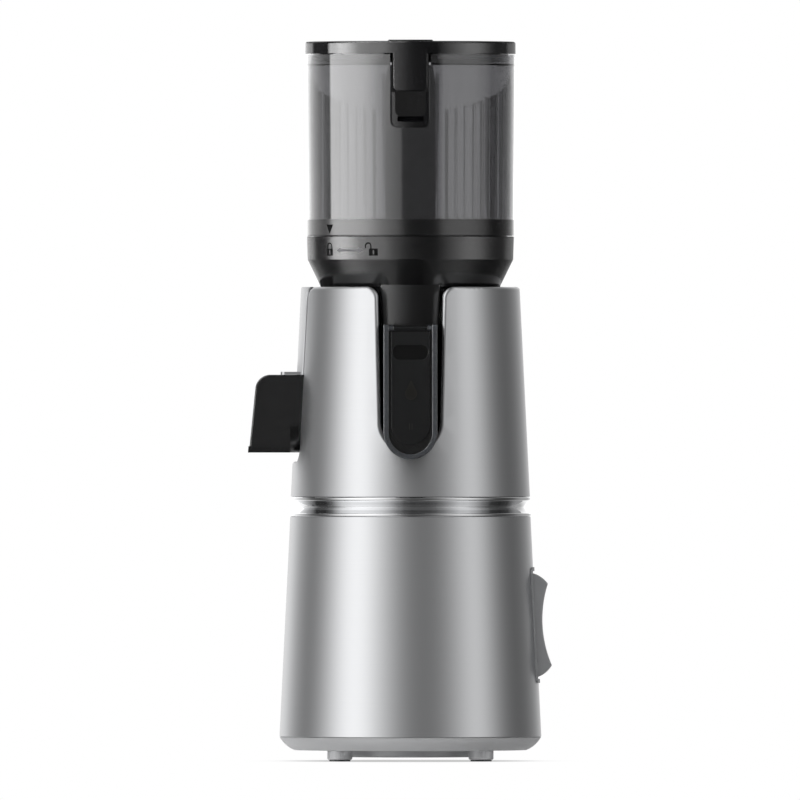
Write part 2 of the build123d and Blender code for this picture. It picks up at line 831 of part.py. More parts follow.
# Cord gland: a bushing through the back of the lower shell, held by a nut inside.
with BuildPart() as cord_gland:
    with BuildSketch(BACK.offset(76)):
        with Locations((0, gland_z)):
            Circle(6.4)
    extrude(amount=12)
    with BuildSketch(BACK.offset(87.0)):
        with Locations((0, gland_z)):
            Circle(9.0)
    extrude(amount=3.0)
    with BuildSketch(BACK.offset(79.8)):
        with Locations((0, gland_z)):
            Circle(8.6)
    extrude(amount=3.0)
    with BuildSketch(BACK.offset(70)):
        with Locations((0, gland_z)):
            Circle(3.8)
    extrude(amount=40, mode=Mode.SUBTRACT)
    # wider behind the lip that grips the cord
    with BuildSketch(BACK.offset(70)):
        with Locations((0, gland_z)):
            Circle(4.7)
    extrude(amount=17, mode=Mode.SUBTRACT)
cord_gland.part.label = "cord_gland"
export_step(cord_gland.part, "parts/cord_gland.step")

# ============================================================ juicing bowl
lug_angles = (90, 210, 330)
lug_half_angle = 9.0
groove_bottom = 339.0
groove_top = 344.4
skirt_radius = 64.8
lug_radius = 66.2


def sector(outer, inner, bottom, top, middle, half_angle):
    """A ring segment about Z, centred on the middle angle."""
    with BuildPart() as piece:
        add(tube(outer, inner, bottom, top))
        with BuildSketch(Plane.XY.offset(bottom)):
            with BuildLine():
                reach = 2 * outer
                first = radians(middle - half_angle)
                last = radians(middle + half_angle)
                Polyline(
                    (0, 0),
                    (reach * cos(first), reach * sin(first)),
                    (reach * cos(last), reach * sin(last)),
                    close=True,
                )
            make_face()
        extrude(amount=top - bottom, mode=Mode.INTERSECT)
    return piece.part


# the front of the bowl comes forward into the slot as a flat-sided nose
with BuildPart() as nose:
    add(u_plug(FRONT, nose_half, nose_low, cone_bottom + 1, 20, 80))
    add(tube(cone_bottom_radius, bowl_radius - 1, nose_low - 1, cone_bottom + 1), mode=Mode.INTERSECT)
    fillet(nose.edges().filter_by(Axis.Z).group_by(Axis.Y)[0], 1.5)

# ribs that carry the metal side cover
cover_foot_radius = shell_radius(hood_top) - wall
cover_head_radius = shell_top_radius - wall
with BuildPart() as cover_ribs:
    for rib_y in (-12, 12):
        with Locations((-64.0, rib_y, 284)):
            Box(20, 2.4, 48)
    add(turned(
        (0, hood_top),
        (cover_foot_radius, hood_top),
        (cover_head_radius, shell_top),
        (0, shell_top),
    ), mode=Mode.INTERSECT)

with BuildPart() as bowl:
    add(turned(
        (14.0, bowl_bottom),
        (bowl_radius, bowl_bottom),
        (bowl_radius + 1, 302.0),
        (cone_bottom_radius, cone_bottom),
        (68.2, 333.4),
        (68.5, bowl_ring_bottom),
        (bowl_ring_radius, bowl_seam - 0.4),
        (bowl_ring_radius - 0.4, bowl_seam),
        (skirt_radius + gap, bowl_seam),
        (skirt_radius + gap, groove_top),
        (lug_radius + gap, groove_top),
        (lug_radius + gap, groove_bottom),
        (skirt_radius + gap, groove_bottom),
        (skirt_radius + gap, 335.6),
        (cone_bottom_radius - 2.7, 318.0),
        (bowl_radius + 1 - bowl_wall, 303.0),
        (bowl_radius - bowl_wall, bowl_floor),
        (17.0, bowl_floor),
        (17.0, 222.0),
        (14.0, 222.0),
    ))
    add(nose.part)
    add(cover_ribs.part)
    # way out for the juice, low in the front
    add(u_plug(FRONT, port_half, port_bottom, 236.0, 45, 62), mode=Mode.SUBTRACT)
    # way out for the pulp, on the left
    with BuildSketch(LEFT.offset(45)):
        with Locations((0, pulp_port_z)):
            RectangleRounded(30, 34, 4)
    extrude(amount=20, mode=Mode.SUBTRACT)
    # gaps in the ledge that let the hopper's lugs in at the open mark
    for lug_angle in lug_angles:
        add(
            sector(lug_radius + gap, 60, groove_top - 1, bowl_seam + 1, lug_angle + twist, lug_half_angle + 1),
            mode=Mode.SUBTRACT,
        )
bowl.part.label = "bowl"
export_step(bowl.part, "parts/bowl.step")

with BuildPart() as bowl_seal:
    add(turned(
        (6.3, 219.0),
        (6.3, 220.6),
        (11.5, 222.2),
        (11.5, 224.0),
        (17.0, 224.0),
        (17.0, 222.0),
        (14.0, 222.0),
        (14.0, 217.0),
        (12.3, 217.0),
        (12.3, 220.5),
    ))
bowl_seal.part.label = "bowl_seal"
export_step(bowl_seal.part, "parts/bowl_seal.step")

with BuildPart() as bowl_magnet:
    with Locations((34, 0, bowl_floor)):
        Cylinder(4, 1.2, align=UP)
bowl_magnet.part.label = "bowl_magnet"
export_step(bowl_magnet.part, "parts/bowl_magnet.step")

with BuildPart() as side_cover:
    add(side_plug(-0.7))
    add(turned(
        (shell_radius(hood_top), hood_top),
        (shell_top_radius, shell_top),
        (shell_top_radius - wall, shell_top),
        (shell_radius(hood_top) - wall, hood_top),
    ), mode=Mode.INTERSECT)
    # the foot that lies on the pulp spout
    with BuildSketch(Plane.XY.offset(hood_top + 0.1)):
        with Locations((-(ledge_reach + 70) / 2, 0)):
            RectangleRounded(ledge_reach - 70, 2 * hood_half - 1, 3)
    extrude(amount=1.9)
    chamfer([edge for edge in side_cover.edges() if on_skin(edge) and (edge @ 0.5).Z > hood_top + 3], 0.5)
side_cover.part.label = "side_cover"
export_step(side_cover.part, "parts/side_cover.step")

# ============================================================ juice spout and flap
with BuildPart() as juice_spout:
    # inner channel, then the deeper frame in front of the shell
    add(u_plug(FRONT, spout_half, channel_bottom, spout_top, cone_bottom_radius - 2.2, 81))
    add(u_plug(FRONT, spout_half, spout_bottom, spout_top, 80, spout_front))
    add(u_plug(FRONT, port_half, port_bottom, 284.0, 40, spout_front), mode=Mode.SUBTRACT)
    add(
        u_plug(FRONT, spout_half - spout_wall, spout_bottom + spout_wall, spout_top + 1, 98, spout_front),
        mode=Mode.SUBTRACT,
    )
    add(
        u_plug(FRONT, spout_half - spout_wall, channel_bottom + spout_wall, spout_top - spout_wall, 64, 95.6),
        mode=Mode.SUBTRACT,
    )
    add(tube(cone_bottom_radius, 40, 190, 300), mode=Mode.SUBTRACT)
    fillet(juice_spout.faces().sort_by(Axis.Y)[0].edges(), 0.6)
    # knuckles for the flap's pin
    for knuckle_start in (-spout_half + 1, knuckle_inner):
        with BuildSketch(RIGHT.offset(knuckle_start)):
            with Locations((flap_hinge_y, flap_hinge_z)):
                Circle(flap_barrel)
        extrude(amount=spout_half - 1 - knuckle_inner)
    with BuildSketch(RIGHT.offset(-spout_half + 1)):
        with Locations((flap_hinge_y, flap_hinge_z)):
            Circle(1.2)
    extrude(amount=2 * spout_half - 2, mode=Mode.SUBTRACT)
juice_spout.part.label = "juice_spout"
export_step(juice_spout.part, "parts/juice_spout.step")

with BuildPart() as flap_pin:
    with BuildSketch(RIGHT.offset(-spout_half + 1)):
        with Locations((flap_hinge_y, flap_hinge_z)):
            Circle(1.2)
    extrude(amount=2 * spout_half - 2)
flap_pin.part.label = "flap_pin"
export_step(flap_pin.part, "parts/flap_pin.step")

flap_face = spout_front - 1.0
with BuildPart() as juice_flap:
    add(u_plug(FRONT, flap_half, flap_bottom, flap_hinge_z - 2.2, flap_face - flap_thickness, flap_face))
    # thumb notch
    with BuildSketch(FRONT.offset(flap_face - 1.6)):
        with Locations((0, 272.0)):
            RectangleRounded(2 * flap_half - 2.4, 9.2, 4.0)
    extrude(amount=3, mode=Mode.SUBTRACT)
    fillet(juice_flap.faces().sort_by(Axis.Y)[0].edges(), 0.4)
    # hinge barrel, with a neck down to the plate
    with BuildSketch(RIGHT.offset(-11.1)):
        with Locations((flap_hinge_y, flap_hinge_z)):
            Circle(flap_barrel)
        with Locations((flap_hinge_y, flap_hinge_z - 2)):
            Rectangle(2.6, 3.6)
    extrude(amount=22.2)
    with BuildSketch(RIGHT.offset(-spout_half)):
        with Locations((flap_hinge_y, flap_hinge_z)):
            Circle(1.2 + running)
    extrude(amount=2 * spout_half, mode=Mode.SUBTRACT)
juice_flap.part.label = "juice_flap"
export_step(juice_flap.part, "parts/juice_flap.step")

with BuildPart() as flap_seal:
    add(u_plug(FRONT, flap_half - 0.6, flap_bottom + 0.6, 285.0, 98.4, flap_face - flap_thickness))
    add(u_plug(FRONT, 9.0, 215.0, 282.0, 98.0, flap_face), mode=Mode.SUBTRACT)
    with Locations((0, flap_hinge_y, flap_hinge_z)):
        Box(30, 12, 7.6, mode=Mode.SUBTRACT)
flap_seal.part.label = "flap_seal"
export_step(flap_seal.part, "parts/flap_seal.step")

# ============================================================ pulp spout
hood_root = 53.0
hood_back = 81.0


def hood_bar(shrink, half, start):
    """The pulp spout's bent outline as a bar across the machine, smaller by shrink all round."""
    top = hood_top - shrink
    with BuildPart() as bar:
        with BuildSketch(FRONT.offset(-half)) as outline:
            with BuildLine():
                Polyline(
                    (-start, top),
                    (-hood_top_reach + shrink, top),
                    (-hood_reach + shrink, hood_bottom),
                    (-start, hood_bottom),
                    close=True,
                )
            make_face()
            fillet(outline.vertices().group_by(Axis.Y)[-1].sort_by(Axis.X)[0], hood_corner - shrink)
        extrude(amount=2 * half)
    return bar.part


def on_hood(edge):
    """Whether an edge runs along the hood's bent outline, on either of its sides."""
    middle = edge @ 0.5
    return abs(abs(middle.Y) - hood_half) < 0.01 and middle.X < -hood_back and middle.Z > hood_bottom + 1


# A round-bottomed channel through the shell's slot, then a hood that is open below.
with BuildPart() as pulp_spout:
    add(u_plug(LEFT, hood_half, hood_bottom, hood_top, hood_root, hood_back))
    add(hood_bar(0, hood_half, hood_back - 1))
    fillet([edge for edge in pulp_spout.edges() if on_hood(edge)], 1.2)
    # bead round the mouth
    with BuildSketch(Plane.XY.offset(hood_bottom)):
        with Locations((-(hood_reach + hood_back) / 2 - 0.3, 0)):
            Rectangle(hood_reach - hood_back + 0.6, 2 * hood_half + 1)
    extrude(amount=4.2, taper=4)
    add(
        u_plug(LEFT, hood_half - hood_wall, hood_bottom + hood_wall, hood_top - hood_wall, 40, hood_back + 2),
        mode=Mode.SUBTRACT,
    )
    add(hood_bar(hood_wall, hood_half - hood_wall, hood_back + 1), mode=Mode.SUBTRACT)
    add(tube(bowl_radius + 0.8, 30, 190, 300), mode=Mode.SUBTRACT)
pulp_spout.part.label = "pulp_spout"
export_step(pulp_spout.part, "parts/pulp_spout.step")

# ============================================================ strainer and auger
with BuildPart() as pulp_duct:
    with BuildSketch(LEFT.offset(40)):
        with Locations((0, pulp_port_z)):
            RectangleRounded(28, 32, 3)
    extrude(amount=14)
    add(tube(bowl_radius - bowl_wall - gap, strainer_radius - 2, 200, 260), mode=Mode.INTERSECT)

with BuildPart() as strainer:
    add(turned(
        (strainer_radius - 1.0, strainer_bottom),
        (strainer_radius, strainer_top - 3.0),
        (bowl_radius - bowl_wall - 0.2, strainer_top - 3.0),
        (bowl_radius - bowl_wall - 0.2, strainer_top - 1.0),
        (strainer_radius - strainer_wall, strainer_top - 1.0),
        (strainer_radius - strainer_wall - 1.0, strainer_bottom),
    ))
    # straining slots
    with BuildSketch(Plane.XY.offset(strainer_bottom + 8)):
        with PolarLocations(strainer_radius - 1, 24):
            Rectangle(5, 1.6)
    extrude(amount=70, mode=Mode.SUBTRACT)
    # duct that lets the pulp out through the bowl's window
    add(pulp_duct.part)
    with BuildSketch(LEFT.offset(38)):
        with Locations((0, pulp_port_z)):
            RectangleRounded(24, 28, 2)
    extrude(amount=16, mode=Mode.SUBTRACT)
strainer.part.label = "strainer"
export_step(strainer.part, "parts/strainer.step")

with BuildPart() as auger:
    add(turned(
        (19.0, auger_bottom),
        (32.0, auger_bottom),
        (21.0, auger_top),
        (0.0, auger_top),
        (0.0, 246.0),
        (10.0, 246.0),
        (10.0, 226.0),
        (19.0, 226.0),
    ))
    with BuildLine() as flight_path:
        Helix(flight_pitch, flight_pitch * flight_turns, auger_radius - 13, center=(0, 0, auger_bottom + 5))
    with BuildSketch(Plane(flight_path.line @ 0, x_dir=(1, 0, 0), z_dir=flight_path.line % 0)):
        Rectangle(26, 4.5)
    sweep(path=flight_path.line, is_frenet=True)
    with Locations((0, 0, 230)):
        Cylinder(10.0, 40, mode=Mode.SUBTRACT)
    with Locations((0, 0, auger_bottom - 2)):
        Cylinder(19.0, 12, align=UP, mode=Mode.SUBTRACT)
auger.part.label = "auger"
export_step(auger.part, "parts/auger.step")

with BuildPart() as auger_insert:
    with Locations((0, 0, 226.5)):
        Cylinder(10.0, 17, align=UP)
    with BuildSketch(Plane.XY.offset(226.5)):
        RegularPolygon(hex_half + 0.1, 6, major_radius=False)
    extrude(amount=15, mode=Mode.SUBTRACT)
auger_insert.part.label = "auger_insert"
export_step(auger_insert.part, "parts/auger_insert.step")

# A domed cap with one curved blade that pulls the fruit down to the auger.
with BuildPart() as feeding_wing:
    add(turned((0, auger_top), (20.0, auger_top), (17.0, 309.0), (8.0, 314.0), (0, 315.0)))
    with BuildSketch(Plane.XY.offset(auger_top)):
        with BuildLine():
            ThreePointArc((0, 0), (22, 20), (46, 8))
        trace(line_width=5)
    extrude(amount=32)
    add(turned((0, 300), (49.0, 300), (49.0, 318.0), (22.0, 334.0), (0, 334.0)), mode=Mode.INTERSECT)
feeding_wing.part.label = "feeding_wing"
export_step(feeding_wing.part, "parts/feeding_wing.step")

# ============================================================ hopper
rib_slope = radians(21.2)
rib_plane = Plane(origin=(0, -63, 432.8), x_dir=(1, 0, 0), z_dir=(0, -sin(rib_slope), cos(rib_slope)))
rear_rib_plane = Plane(origin=(0, 63, 432.8), x_dir=(1, 0, 0), z_dir=(0, sin(rib_slope), cos(rib_slope)))
front_angle = 270
clear_of_pocket = 18

with BuildPart() as hopper_ribs:
    with BuildSketch(Plane.XY.offset(collar_top + 0.6)):
        for rib in range(rib_count):
            rib_angle = 360 * (rib + 0.5) / rib_count
            if abs(rib_angle - front_angle) > clear_of_pocket:
                with PolarLocations(66.4, 1, start_angle=rib_angle):
                    Rectangle(2.2, 1.7)
    extrude(amount=101)
    split(bisect_by=rib_plane, keep=Keep.BOTTOM)
    split(bisect_by=rear_rib_plane, keep=Keep.BOTTOM)


def pocket_bar(half, bottom, corner, start, end):
    """A bar with rounded lower corners, along -Y, that cuts down through the hopper's rim."""
    with BuildPart() as bar:
        with BuildSketch(FRONT.offset(start)) as outline:
            with Locations((0, (bottom + 500) / 2)):
                Rectangle(2 * half, 500 - bottom)
            fillet(outline.vertices().group_by(Axis.Y)[0], corner)
        extrude(amount=end - start)
    return bar.part


with BuildPart() as hopper:
    add(turned(
        (hopper_bottom_radius, collar_top),
        (hopper_top_radius, hopper_top),
        (mouth_radius, hopper_top),
        (mouth_radius, 464.4),
        (hopper_top_radius - hopper_wall, 463.2),
        (hopper_bottom_radius - hopper_wall, collar_top),
    ))
    add(hopper_ribs.part)
    # walls either side of the rod channel
    for side in (-1, 1):
        with Locations((side * (channel_half + 1.2), -60.0, 409.4)):
            Box(2.2, 9, 96)
    # hinge lugs
    for lug_start in (-14, 8):
        with BuildSketch(RIGHT.offset(lug_start)):
            with BuildLine():
                Polyline(
                    (68.6, 458),
                    (lid_hinge_y + 3.4, lid_hinge_z),
                    (lid_hinge_y - 3.4, lid_hinge_z + 0.2),
                    (68.6, 470),
                    close=True,
                )
            make_face()
            with Locations((lid_hinge_y, lid_hinge_z)):
                Circle(3.4)
        extrude(amount=6)
    with BuildSketch(RIGHT.offset(-20)):
        with Locations((lid_hinge_y, lid_hinge_z)):
            Circle(1.5)
    extrude(amount=40, mode=Mode.SUBTRACT)
    add(pocket_bar(pocket_half, pocket_bottom, 5.1, 55, 80), mode=Mode.SUBTRACT)
hopper.part.label = "hopper"
export_step(hopper.part, "parts/hopper.step")

with BuildPart() as hinge_pin:
    with BuildSketch(RIGHT.offset(-14)):
        with Locations((lid_hinge_y, lid_hinge_z)):
            Circle(1.5)
    extrude(amount=28)
hinge_pin.part.label = "hinge_pin"
export_step(hinge_pin.part, "parts/hinge_pin.step")

with BuildPart() as hopper_collar:
    add(turned(
        (skirt_radius, 337.4),
        (skirt_radius, hopper_bottom),
        (bowl_ring_radius - 0.3, hopper_bottom),
        (bowl_ring_radius + 0.1, hopper_bottom + 0.4),
        (hopper_bottom_radius, collar_top),
        (65.2, collar_top),
        (65.2, collar_top + 0.5),
        (61.8, collar_top + 0.5),
        (61.8, 337.4),
    ))
    for lug_angle in lug_angles:
        add(sector(lug_radius, 63, groove_bottom + 0.6, groove_top - 0.6, lug_angle, lug_half_angle))
hopper_collar.part.label = "hopper_collar"
export_step(hopper_collar.part, "parts/hopper_collar.step")

with BuildPart() as collar_seal:
    add(tube(skirt_radius - 0.2, 62.0, 336.2, 337.4))
collar_seal.part.label = "collar_seal"
export_step(collar_seal.part, "parts/collar_seal.step")

# Black moulding behind the clear wall: the finger pocket above, the rod's channel below.
insert_radius = 66.3
insert_back = 51.0
frame_half = 12.3
recess_half = 10.2
recess_bottom = 429.0
rod_y = -56.0
rod_radius = 2.5
rod_bottom = 374.0
channel_floor = 363.5
spring_radius = 1.8
spring_wire = 0.35

with BuildPart() as pocket_insert:
    with BuildSketch(FRONT.offset(insert_back)):
        with BuildLine():
            Polyline(
                (-channel_half, collar_top + 0.6),
                (-channel_half, 452.0),
                (-channel_half + 2, 463.0),
                (channel_half - 2, 463.0),
                (channel_half, 452.0),
                (channel_half, collar_top + 0.6),
                close=True,
            )
        make_face()
    extrude(amount=20)
    add(tube(insert_radius, 40, collar_top, hopper_top), mode=Mode.INTERSECT)
    # frame that stands in the cut of the clear wall, with a groove round it
    add(pocket_bar(frame_half, pocket_bottom + 1.2, 4.2, insert_back + 10, 80))
    add(turned(
        (0, collar_top),
        (hopper_bottom_radius, collar_top),
        (hopper_top_radius, hopper_top),
        (0, hopper_top),
    ), mode=Mode.INTERSECT)
    # room for the lid's tab, then the deeper finger recess behind and below it
    add(pocket_bar(pocket_half + 1, tab_bottom - 0.8, 0.5, 65.6, 80), mode=Mode.SUBTRACT)
    add(pocket_bar(recess_half, recess_bottom, 4.0, 60.0, 80), mode=Mode.SUBTRACT)
    # sloping sill of the recess
    with BuildSketch(RIGHT.offset(-recess_half + 1.5)):
        with BuildLine():
            Polyline(
                (-64.0, recess_bottom + 0.1),
                (-72.0, recess_bottom - 5.2),
                (-72.0, recess_bottom + 0.1),
                close=True,
            )
        make_face()
    extrude(amount=2 * recess_half - 3, mode=Mode.SUBTRACT)
    # hollow of the channel, closed below
    with BuildSketch(Plane.XY.offset(channel_floor)):
        with Locations((0, -58.2)):
            Rectangle(2 * channel_half - 4, 9.6)
    extrude(amount=pocket_bottom - 3 - channel_floor, mode=Mode.SUBTRACT)
    with Locations((0, rod_y, channel_floor)):
        Cylinder(rod_radius + 0.4, 120, align=UP, mode=Mode.SUBTRACT)
pocket_insert.part.label = "pocket_insert"
export_step(pocket_insert.part, "parts/pocket_insert.step")

with BuildPart() as interlock_rod:
    with Locations((0, rod_y, rod_bottom)):
        Cylinder(rod_radius, lid_bottom - 0.5 - rod_bottom, align=UP)
    fillet(interlock_rod.edges().sort_by(Axis.Z)[-1], 1.0)
interlock_rod.part.label = "interlock_rod"
export_step(interlock_rod.part, "parts/interlock_rod.step")

# the spring that lifts the rod when the lid opens
spring_bottom = channel_floor + spring_wire
spring_height = rod_bottom - spring_wire - 0.1 - spring_bottom
with BuildPart() as rod_spring:
    with BuildLine() as coil:
        Helix(1.6, spring_height, spring_radius, center=(0, rod_y, spring_bottom))
    with BuildSketch(Plane(coil.line @ 0, z_dir=coil.line % 0)):
        Circle(spring_wire)
    sweep(path=coil.line, is_frenet=True)
rod_spring.part.label = "rod_spring"
export_step(rod_spring.part, "parts/rod_spring.step")

# ============================================================ lid
lid_plate = 2.6
tab_face = lid_radius - 0.15


def on_tab_face(edge):
    """Whether an edge bounds the tab's front face, below the lid."""
    spots = [edge @ share for share in (0.1, 0.5, 0.9)]
    return max(abs(hypot(spot.X, spot.Y) - tab_face) for spot in spots) < 0.01 and spots[1].Z < lid_bottom


# tab that hangs down from the lid's rim into the pocket
with BuildPart() as tab:
    add(pocket_bar(tab_half, tab_bottom, 3.4, 55, 80))
    add(tube(tab_face, lid_radius - 3.0, 440, lid_bottom + 1), mode=Mode.INTERSECT)
    fillet([edge for edge in tab.edges() if on_tab_face(edge)], 0.6)

# raised band that runs back from the tab
with BuildPart() as lid_band:
    with BuildSketch(Plane.XY.offset(lid_top - 0.5)):
        with Locations((0, -27)):
            RectangleRounded(30, 90, 8)
    extrude(amount=1.3)
    add(turned((0, 0), (lid_radius - 1.4, 0), (lid_radius - 1.4, 490), (0, 490)), mode=Mode.INTERSECT)
    chamfer(lid_band.faces().sort_by(Axis.Z)[-1].edges(), 0.5)

with BuildPart() as lid:
    add(turned(
        (0, lid_top),
        (lid_radius, lid_top),
        (lid_radius, lid_bottom),
        (66.8, lid_bottom),
        (66.8, lid_top - lid_plate),
        (65.2, lid_top - lid_plate),
        (65.2, 466.0),
        (63.0, 466.0),
        (63.0, lid_top - lid_plate),
        (0, lid_top - lid_plate),
    ))
    fillet(lid.edges().group_by(Axis.Z)[-1], 1.4)
    add(lid_band.part)
    # the skirt stops short of the pocket
    with Locations((0, -64, 467)):
        Box(2 * channel_half + 3, 22, 8.2, mode=Mode.SUBTRACT)
    add(tab.part)
    # boss that presses the interlock rod
    with Locations((0, rod_y, lid_bottom)):
        Cylinder(4.0, 6, align=UP)
    # room for the hopper's hinge lugs, and the knuckle between them
    with BuildSketch(RIGHT.offset(-14.6)):
        with Locations((lid_hinge_y, lid_hinge_z)):
            Circle(4.4)
    extrude(amount=29.2, mode=Mode.SUBTRACT)
    with BuildSketch(RIGHT.offset(-7.6)):
        with Locations((lid_hinge_y, lid_hinge_z)):
            Circle(3.4)
        with BuildLine():
            Polyline(
                (67.5, 475.2),
                (67.5, 478.0),
                (73.0, 477.0),
                (77.2, 471.2),
                (74.0, 470.0),
                (71.6, 472.4),
                close=True,
            )
        make_face()
    extrude(amount=15.2)
    with BuildSketch(RIGHT.offset(-20)):
        with Locations((lid_hinge_y, lid_hinge_z)):
            Circle(1.5 + running)
    extrude(amount=40, mode=Mode.SUBTRACT)
lid.part.label = "lid"
export_step(lid.part, "parts/lid.step")

with BuildPart() as lid_seal:
    add(tube(65.9, 65.2, 467.4, 469.6))
    with Locations((0, -64, 467)):
        Box(2 * channel_half + 3, 22, 8.2, mode=Mode.SUBTRACT)
lid_seal.part.label = "lid_seal"
export_step(lid_seal.part, "parts/lid_seal.step")
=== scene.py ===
import bmesh
import bpy
from math import asin, cos, pi, radians, sin
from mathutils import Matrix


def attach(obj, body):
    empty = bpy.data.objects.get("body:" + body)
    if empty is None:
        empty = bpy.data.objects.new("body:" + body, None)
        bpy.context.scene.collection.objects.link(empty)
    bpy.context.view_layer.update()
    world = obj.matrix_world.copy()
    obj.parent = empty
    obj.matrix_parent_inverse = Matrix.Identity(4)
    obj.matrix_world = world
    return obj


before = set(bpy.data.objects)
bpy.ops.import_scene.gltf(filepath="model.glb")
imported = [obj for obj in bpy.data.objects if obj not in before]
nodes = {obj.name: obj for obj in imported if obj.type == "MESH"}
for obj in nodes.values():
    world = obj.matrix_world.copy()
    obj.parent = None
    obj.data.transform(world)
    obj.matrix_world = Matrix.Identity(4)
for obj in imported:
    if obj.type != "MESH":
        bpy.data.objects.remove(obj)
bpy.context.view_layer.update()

# ---------------------------------------------------------------- camera
# The view is level and from straight in front, through a very long lens, so that level edges stay level and
# far edges look no smaller than near ones. The camera stands as far off as it takes to frame view_width.
view_width = 0.5333
view_middle_x = -0.00693
view_middle_z = 0.2404
lens_length = 1650
sensor_width = 36
sight_reach = 100
camera_data = bpy.data.cameras.new("camera")
camera_data.lens = lens_length
camera_data.sensor_width = sensor_width
camera_data.clip_end = sight_reach
camera = bpy.data.objects.new("camera", camera_data)
bpy.context.scene.collection.objects.link(camera)
camera_distance = view_width * lens_length / sensor_width
camera.location = (view_middle_x, -camera_distance, view_middle_z)
camera.rotation_euler = (radians(90), 0, 0)
bpy.context.scene.camera = camera

# ---------------------------------------------------------------- studio
# Soft boxes left and right of the camera and a white screen behind the object. The sky lights everything, low
# and soft, and far domes of light do the work of cards, each kept to one group of pieces: one for the metal
# and its silver paint, one for the chrome ring, one for the clear hopper and its foot, one for all the rest.

# Each stop is a compass angle in degrees, to the right of the camera when positive, and its brightness.
sky_stops = (
    (-180, 1.01), (-148, 0.88), (-128, 0.458), (-113, 0.255), (-102, 0.273), (-92, 0.44), (-82, 0.739),
    (-72, 1.12), (-63, 1.43), (-54, 1.53), (-45, 1.43), (-37, 1.16), (-29, 0.88), (-21, 0.651), (-13, 0.458),
    (-5, 0.317), (4, 0.246), (14, 0.22), (24, 0.246), (33, 0.343), (42, 0.502), (52, 0.73), (61, 0.898),
    (69, 0.845), (78, 0.607), (88, 0.352), (99, 0.194), (112, 0.141), (126, 0.167), (145, 0.317), (160, 0.546),
    (180, 1.01),
)
ring_stops = (
    (-180, 1.3), (-150, 1.1), (-130, 0.5), (-112, 0.04), (-97, 0.04), (-88, 0.16), (-81, 0.5), (-74, 0.85),
    (-62, 1.12), (-50, 1.15), (-40, 1.05), (-31, 0.88), (-22, 0.58), (-14, 0.26), (-6, 0.1), (2, 0.06),
    (18, 0.07), (26, 0.12), (34, 0.24), (43, 0.46), (52, 0.7), (61, 0.72), (70, 0.52), (80, 0.23), (91, 0.05),
    (104, 0.03), (118, 0.06), (136, 0.32), (155, 0.4), (180, 1.3),
)
soft_box_stops = (
    (-180, 1.1), (-139, 1.1), (-133, 0.1), (-104, 0.1), (-99, 4.6), (-92, 4.9), (-84, 6.6), (-76, 6.2),
    (-68, 4.5), (-60, 2.7), (-45, 2.0), (-31, 1.85), (-20, 0.88), (-11, 0.46), (-3, 0.2), (4, 0.1), (18, 0.06),
    (30, 0.06), (40, 0.45), (50, 0.85), (58, 1.15), (66, 1.5), (74, 1.5), (84, 1.15), (92, 0.65), (100, 0.28),
    (108, 0.12), (130, 0.1), (138, 0.42), (180, 0.42),
)
tall_box_stops = (
    (-180, 2.4), (-153, 1.9), (-128, 1.15), (-110, 0.6), (-101, 0.5), (-98, 5.7), (-84, 6.0), (-73, 6.0),
    (-62, 5.8), (-52, 5.2), (-43, 4.0), (-34, 2.6), (-25, 1.95), (-15.7, 1.35), (-11, 1.1), (-8, 0.15),
    (0, 0.08), (20, 0.07), (30, 0.12), (33, 0.4), (37, 1.15), (46, 1.3), (56, 1.3), (66, 1.3), (77, 1.1),
    (89, 0.65), (101, 0.06), (117, 0.08), (136, 0.25), (155, 0.8), (180, 2.4),
)
# Here each stop is an angle above the horizon, and the share of that brightness which is left.
sky_height = ((-60, 0.12), (-14, 0.12), (-8, 0.0), (1.3, 0.0), (3.5, 0.2), (60, 0.2), (75, 0.1))
all_round = ((-60, 0.6), (-8, 1.0), (60, 1.0), (75, 0.35))
tall_height = (
    (-60, 0.19), (-14, 0.19), (-8, 0.75), (-1.5, 1.0), (1.5, 1.0), (4, 0.15), (60, 0.15), (75, 0.05),
)
box_height = (
    (-60, 0.19), (-14, 0.19), (-8, 0.75), (-1.5, 1.0), (3, 1.0), (7, 0.15), (20, 0.15), (35, 0.6), (60, 0.6),
    (75, 0.2),
)
white = (1, 1, 1, 1)
world = bpy.data.worlds.new("studio")
world.use_nodes = True
bpy.context.scene.world = world
sky = world.node_tree
sky.nodes.clear()


def link(tree, source, output, target, entry):
    """Joins a node's output to another node's input."""
    tree.links.new(source.outputs[output], target.inputs[entry])


def math_node(tree, operation, first, second=None, third=None):
    """A Math node; an entry is a number or a (node, output) pair."""
    node = tree.nodes.new("ShaderNodeMath")
    node.operation = operation
    for place, value in enumerate((first, second, third)):
        if isinstance(value, tuple):
            link(tree, value[0], value[1], node, place)
        elif value is not None:
            node.inputs[place].default_value = value
    return node


def ramp_node(tree, stops):
    """A Color Ramp with one grey or coloured stop for each (position, value)."""
    node = tree.nodes.new("ShaderNodeValToRGB")
    ramp = node.color_ramp
    while len(ramp.elements) < len(stops):
        ramp.elements.new(0.5)
    for element, (position, value) in zip(ramp.elements, stops):
        element.position = position
        element.color = (value, value, value, 1) if isinstance(value, float) else (*value, 1)
    return node


def angles_of(tree, vector_output):
    """Compass angle and height of a direction, each as a share from 0 to 1."""
    axes = tree.nodes.new("ShaderNodeSeparateXYZ")
    link(tree, vector_output[0], vector_output[1], axes, 0)
    backwards = math_node(tree, "MULTIPLY", (axes, "Y"), -1.0)
    compass = math_node(tree, "ARCTAN2", (axes, "X"), (backwards, 0))
    return (
        math_node(tree, "MULTIPLY_ADD", (compass, 0), 0.5 / pi, 0.5),
        math_node(tree, "MULTIPLY_ADD", (axes, "Z"), 0.5, 0.5),
    )


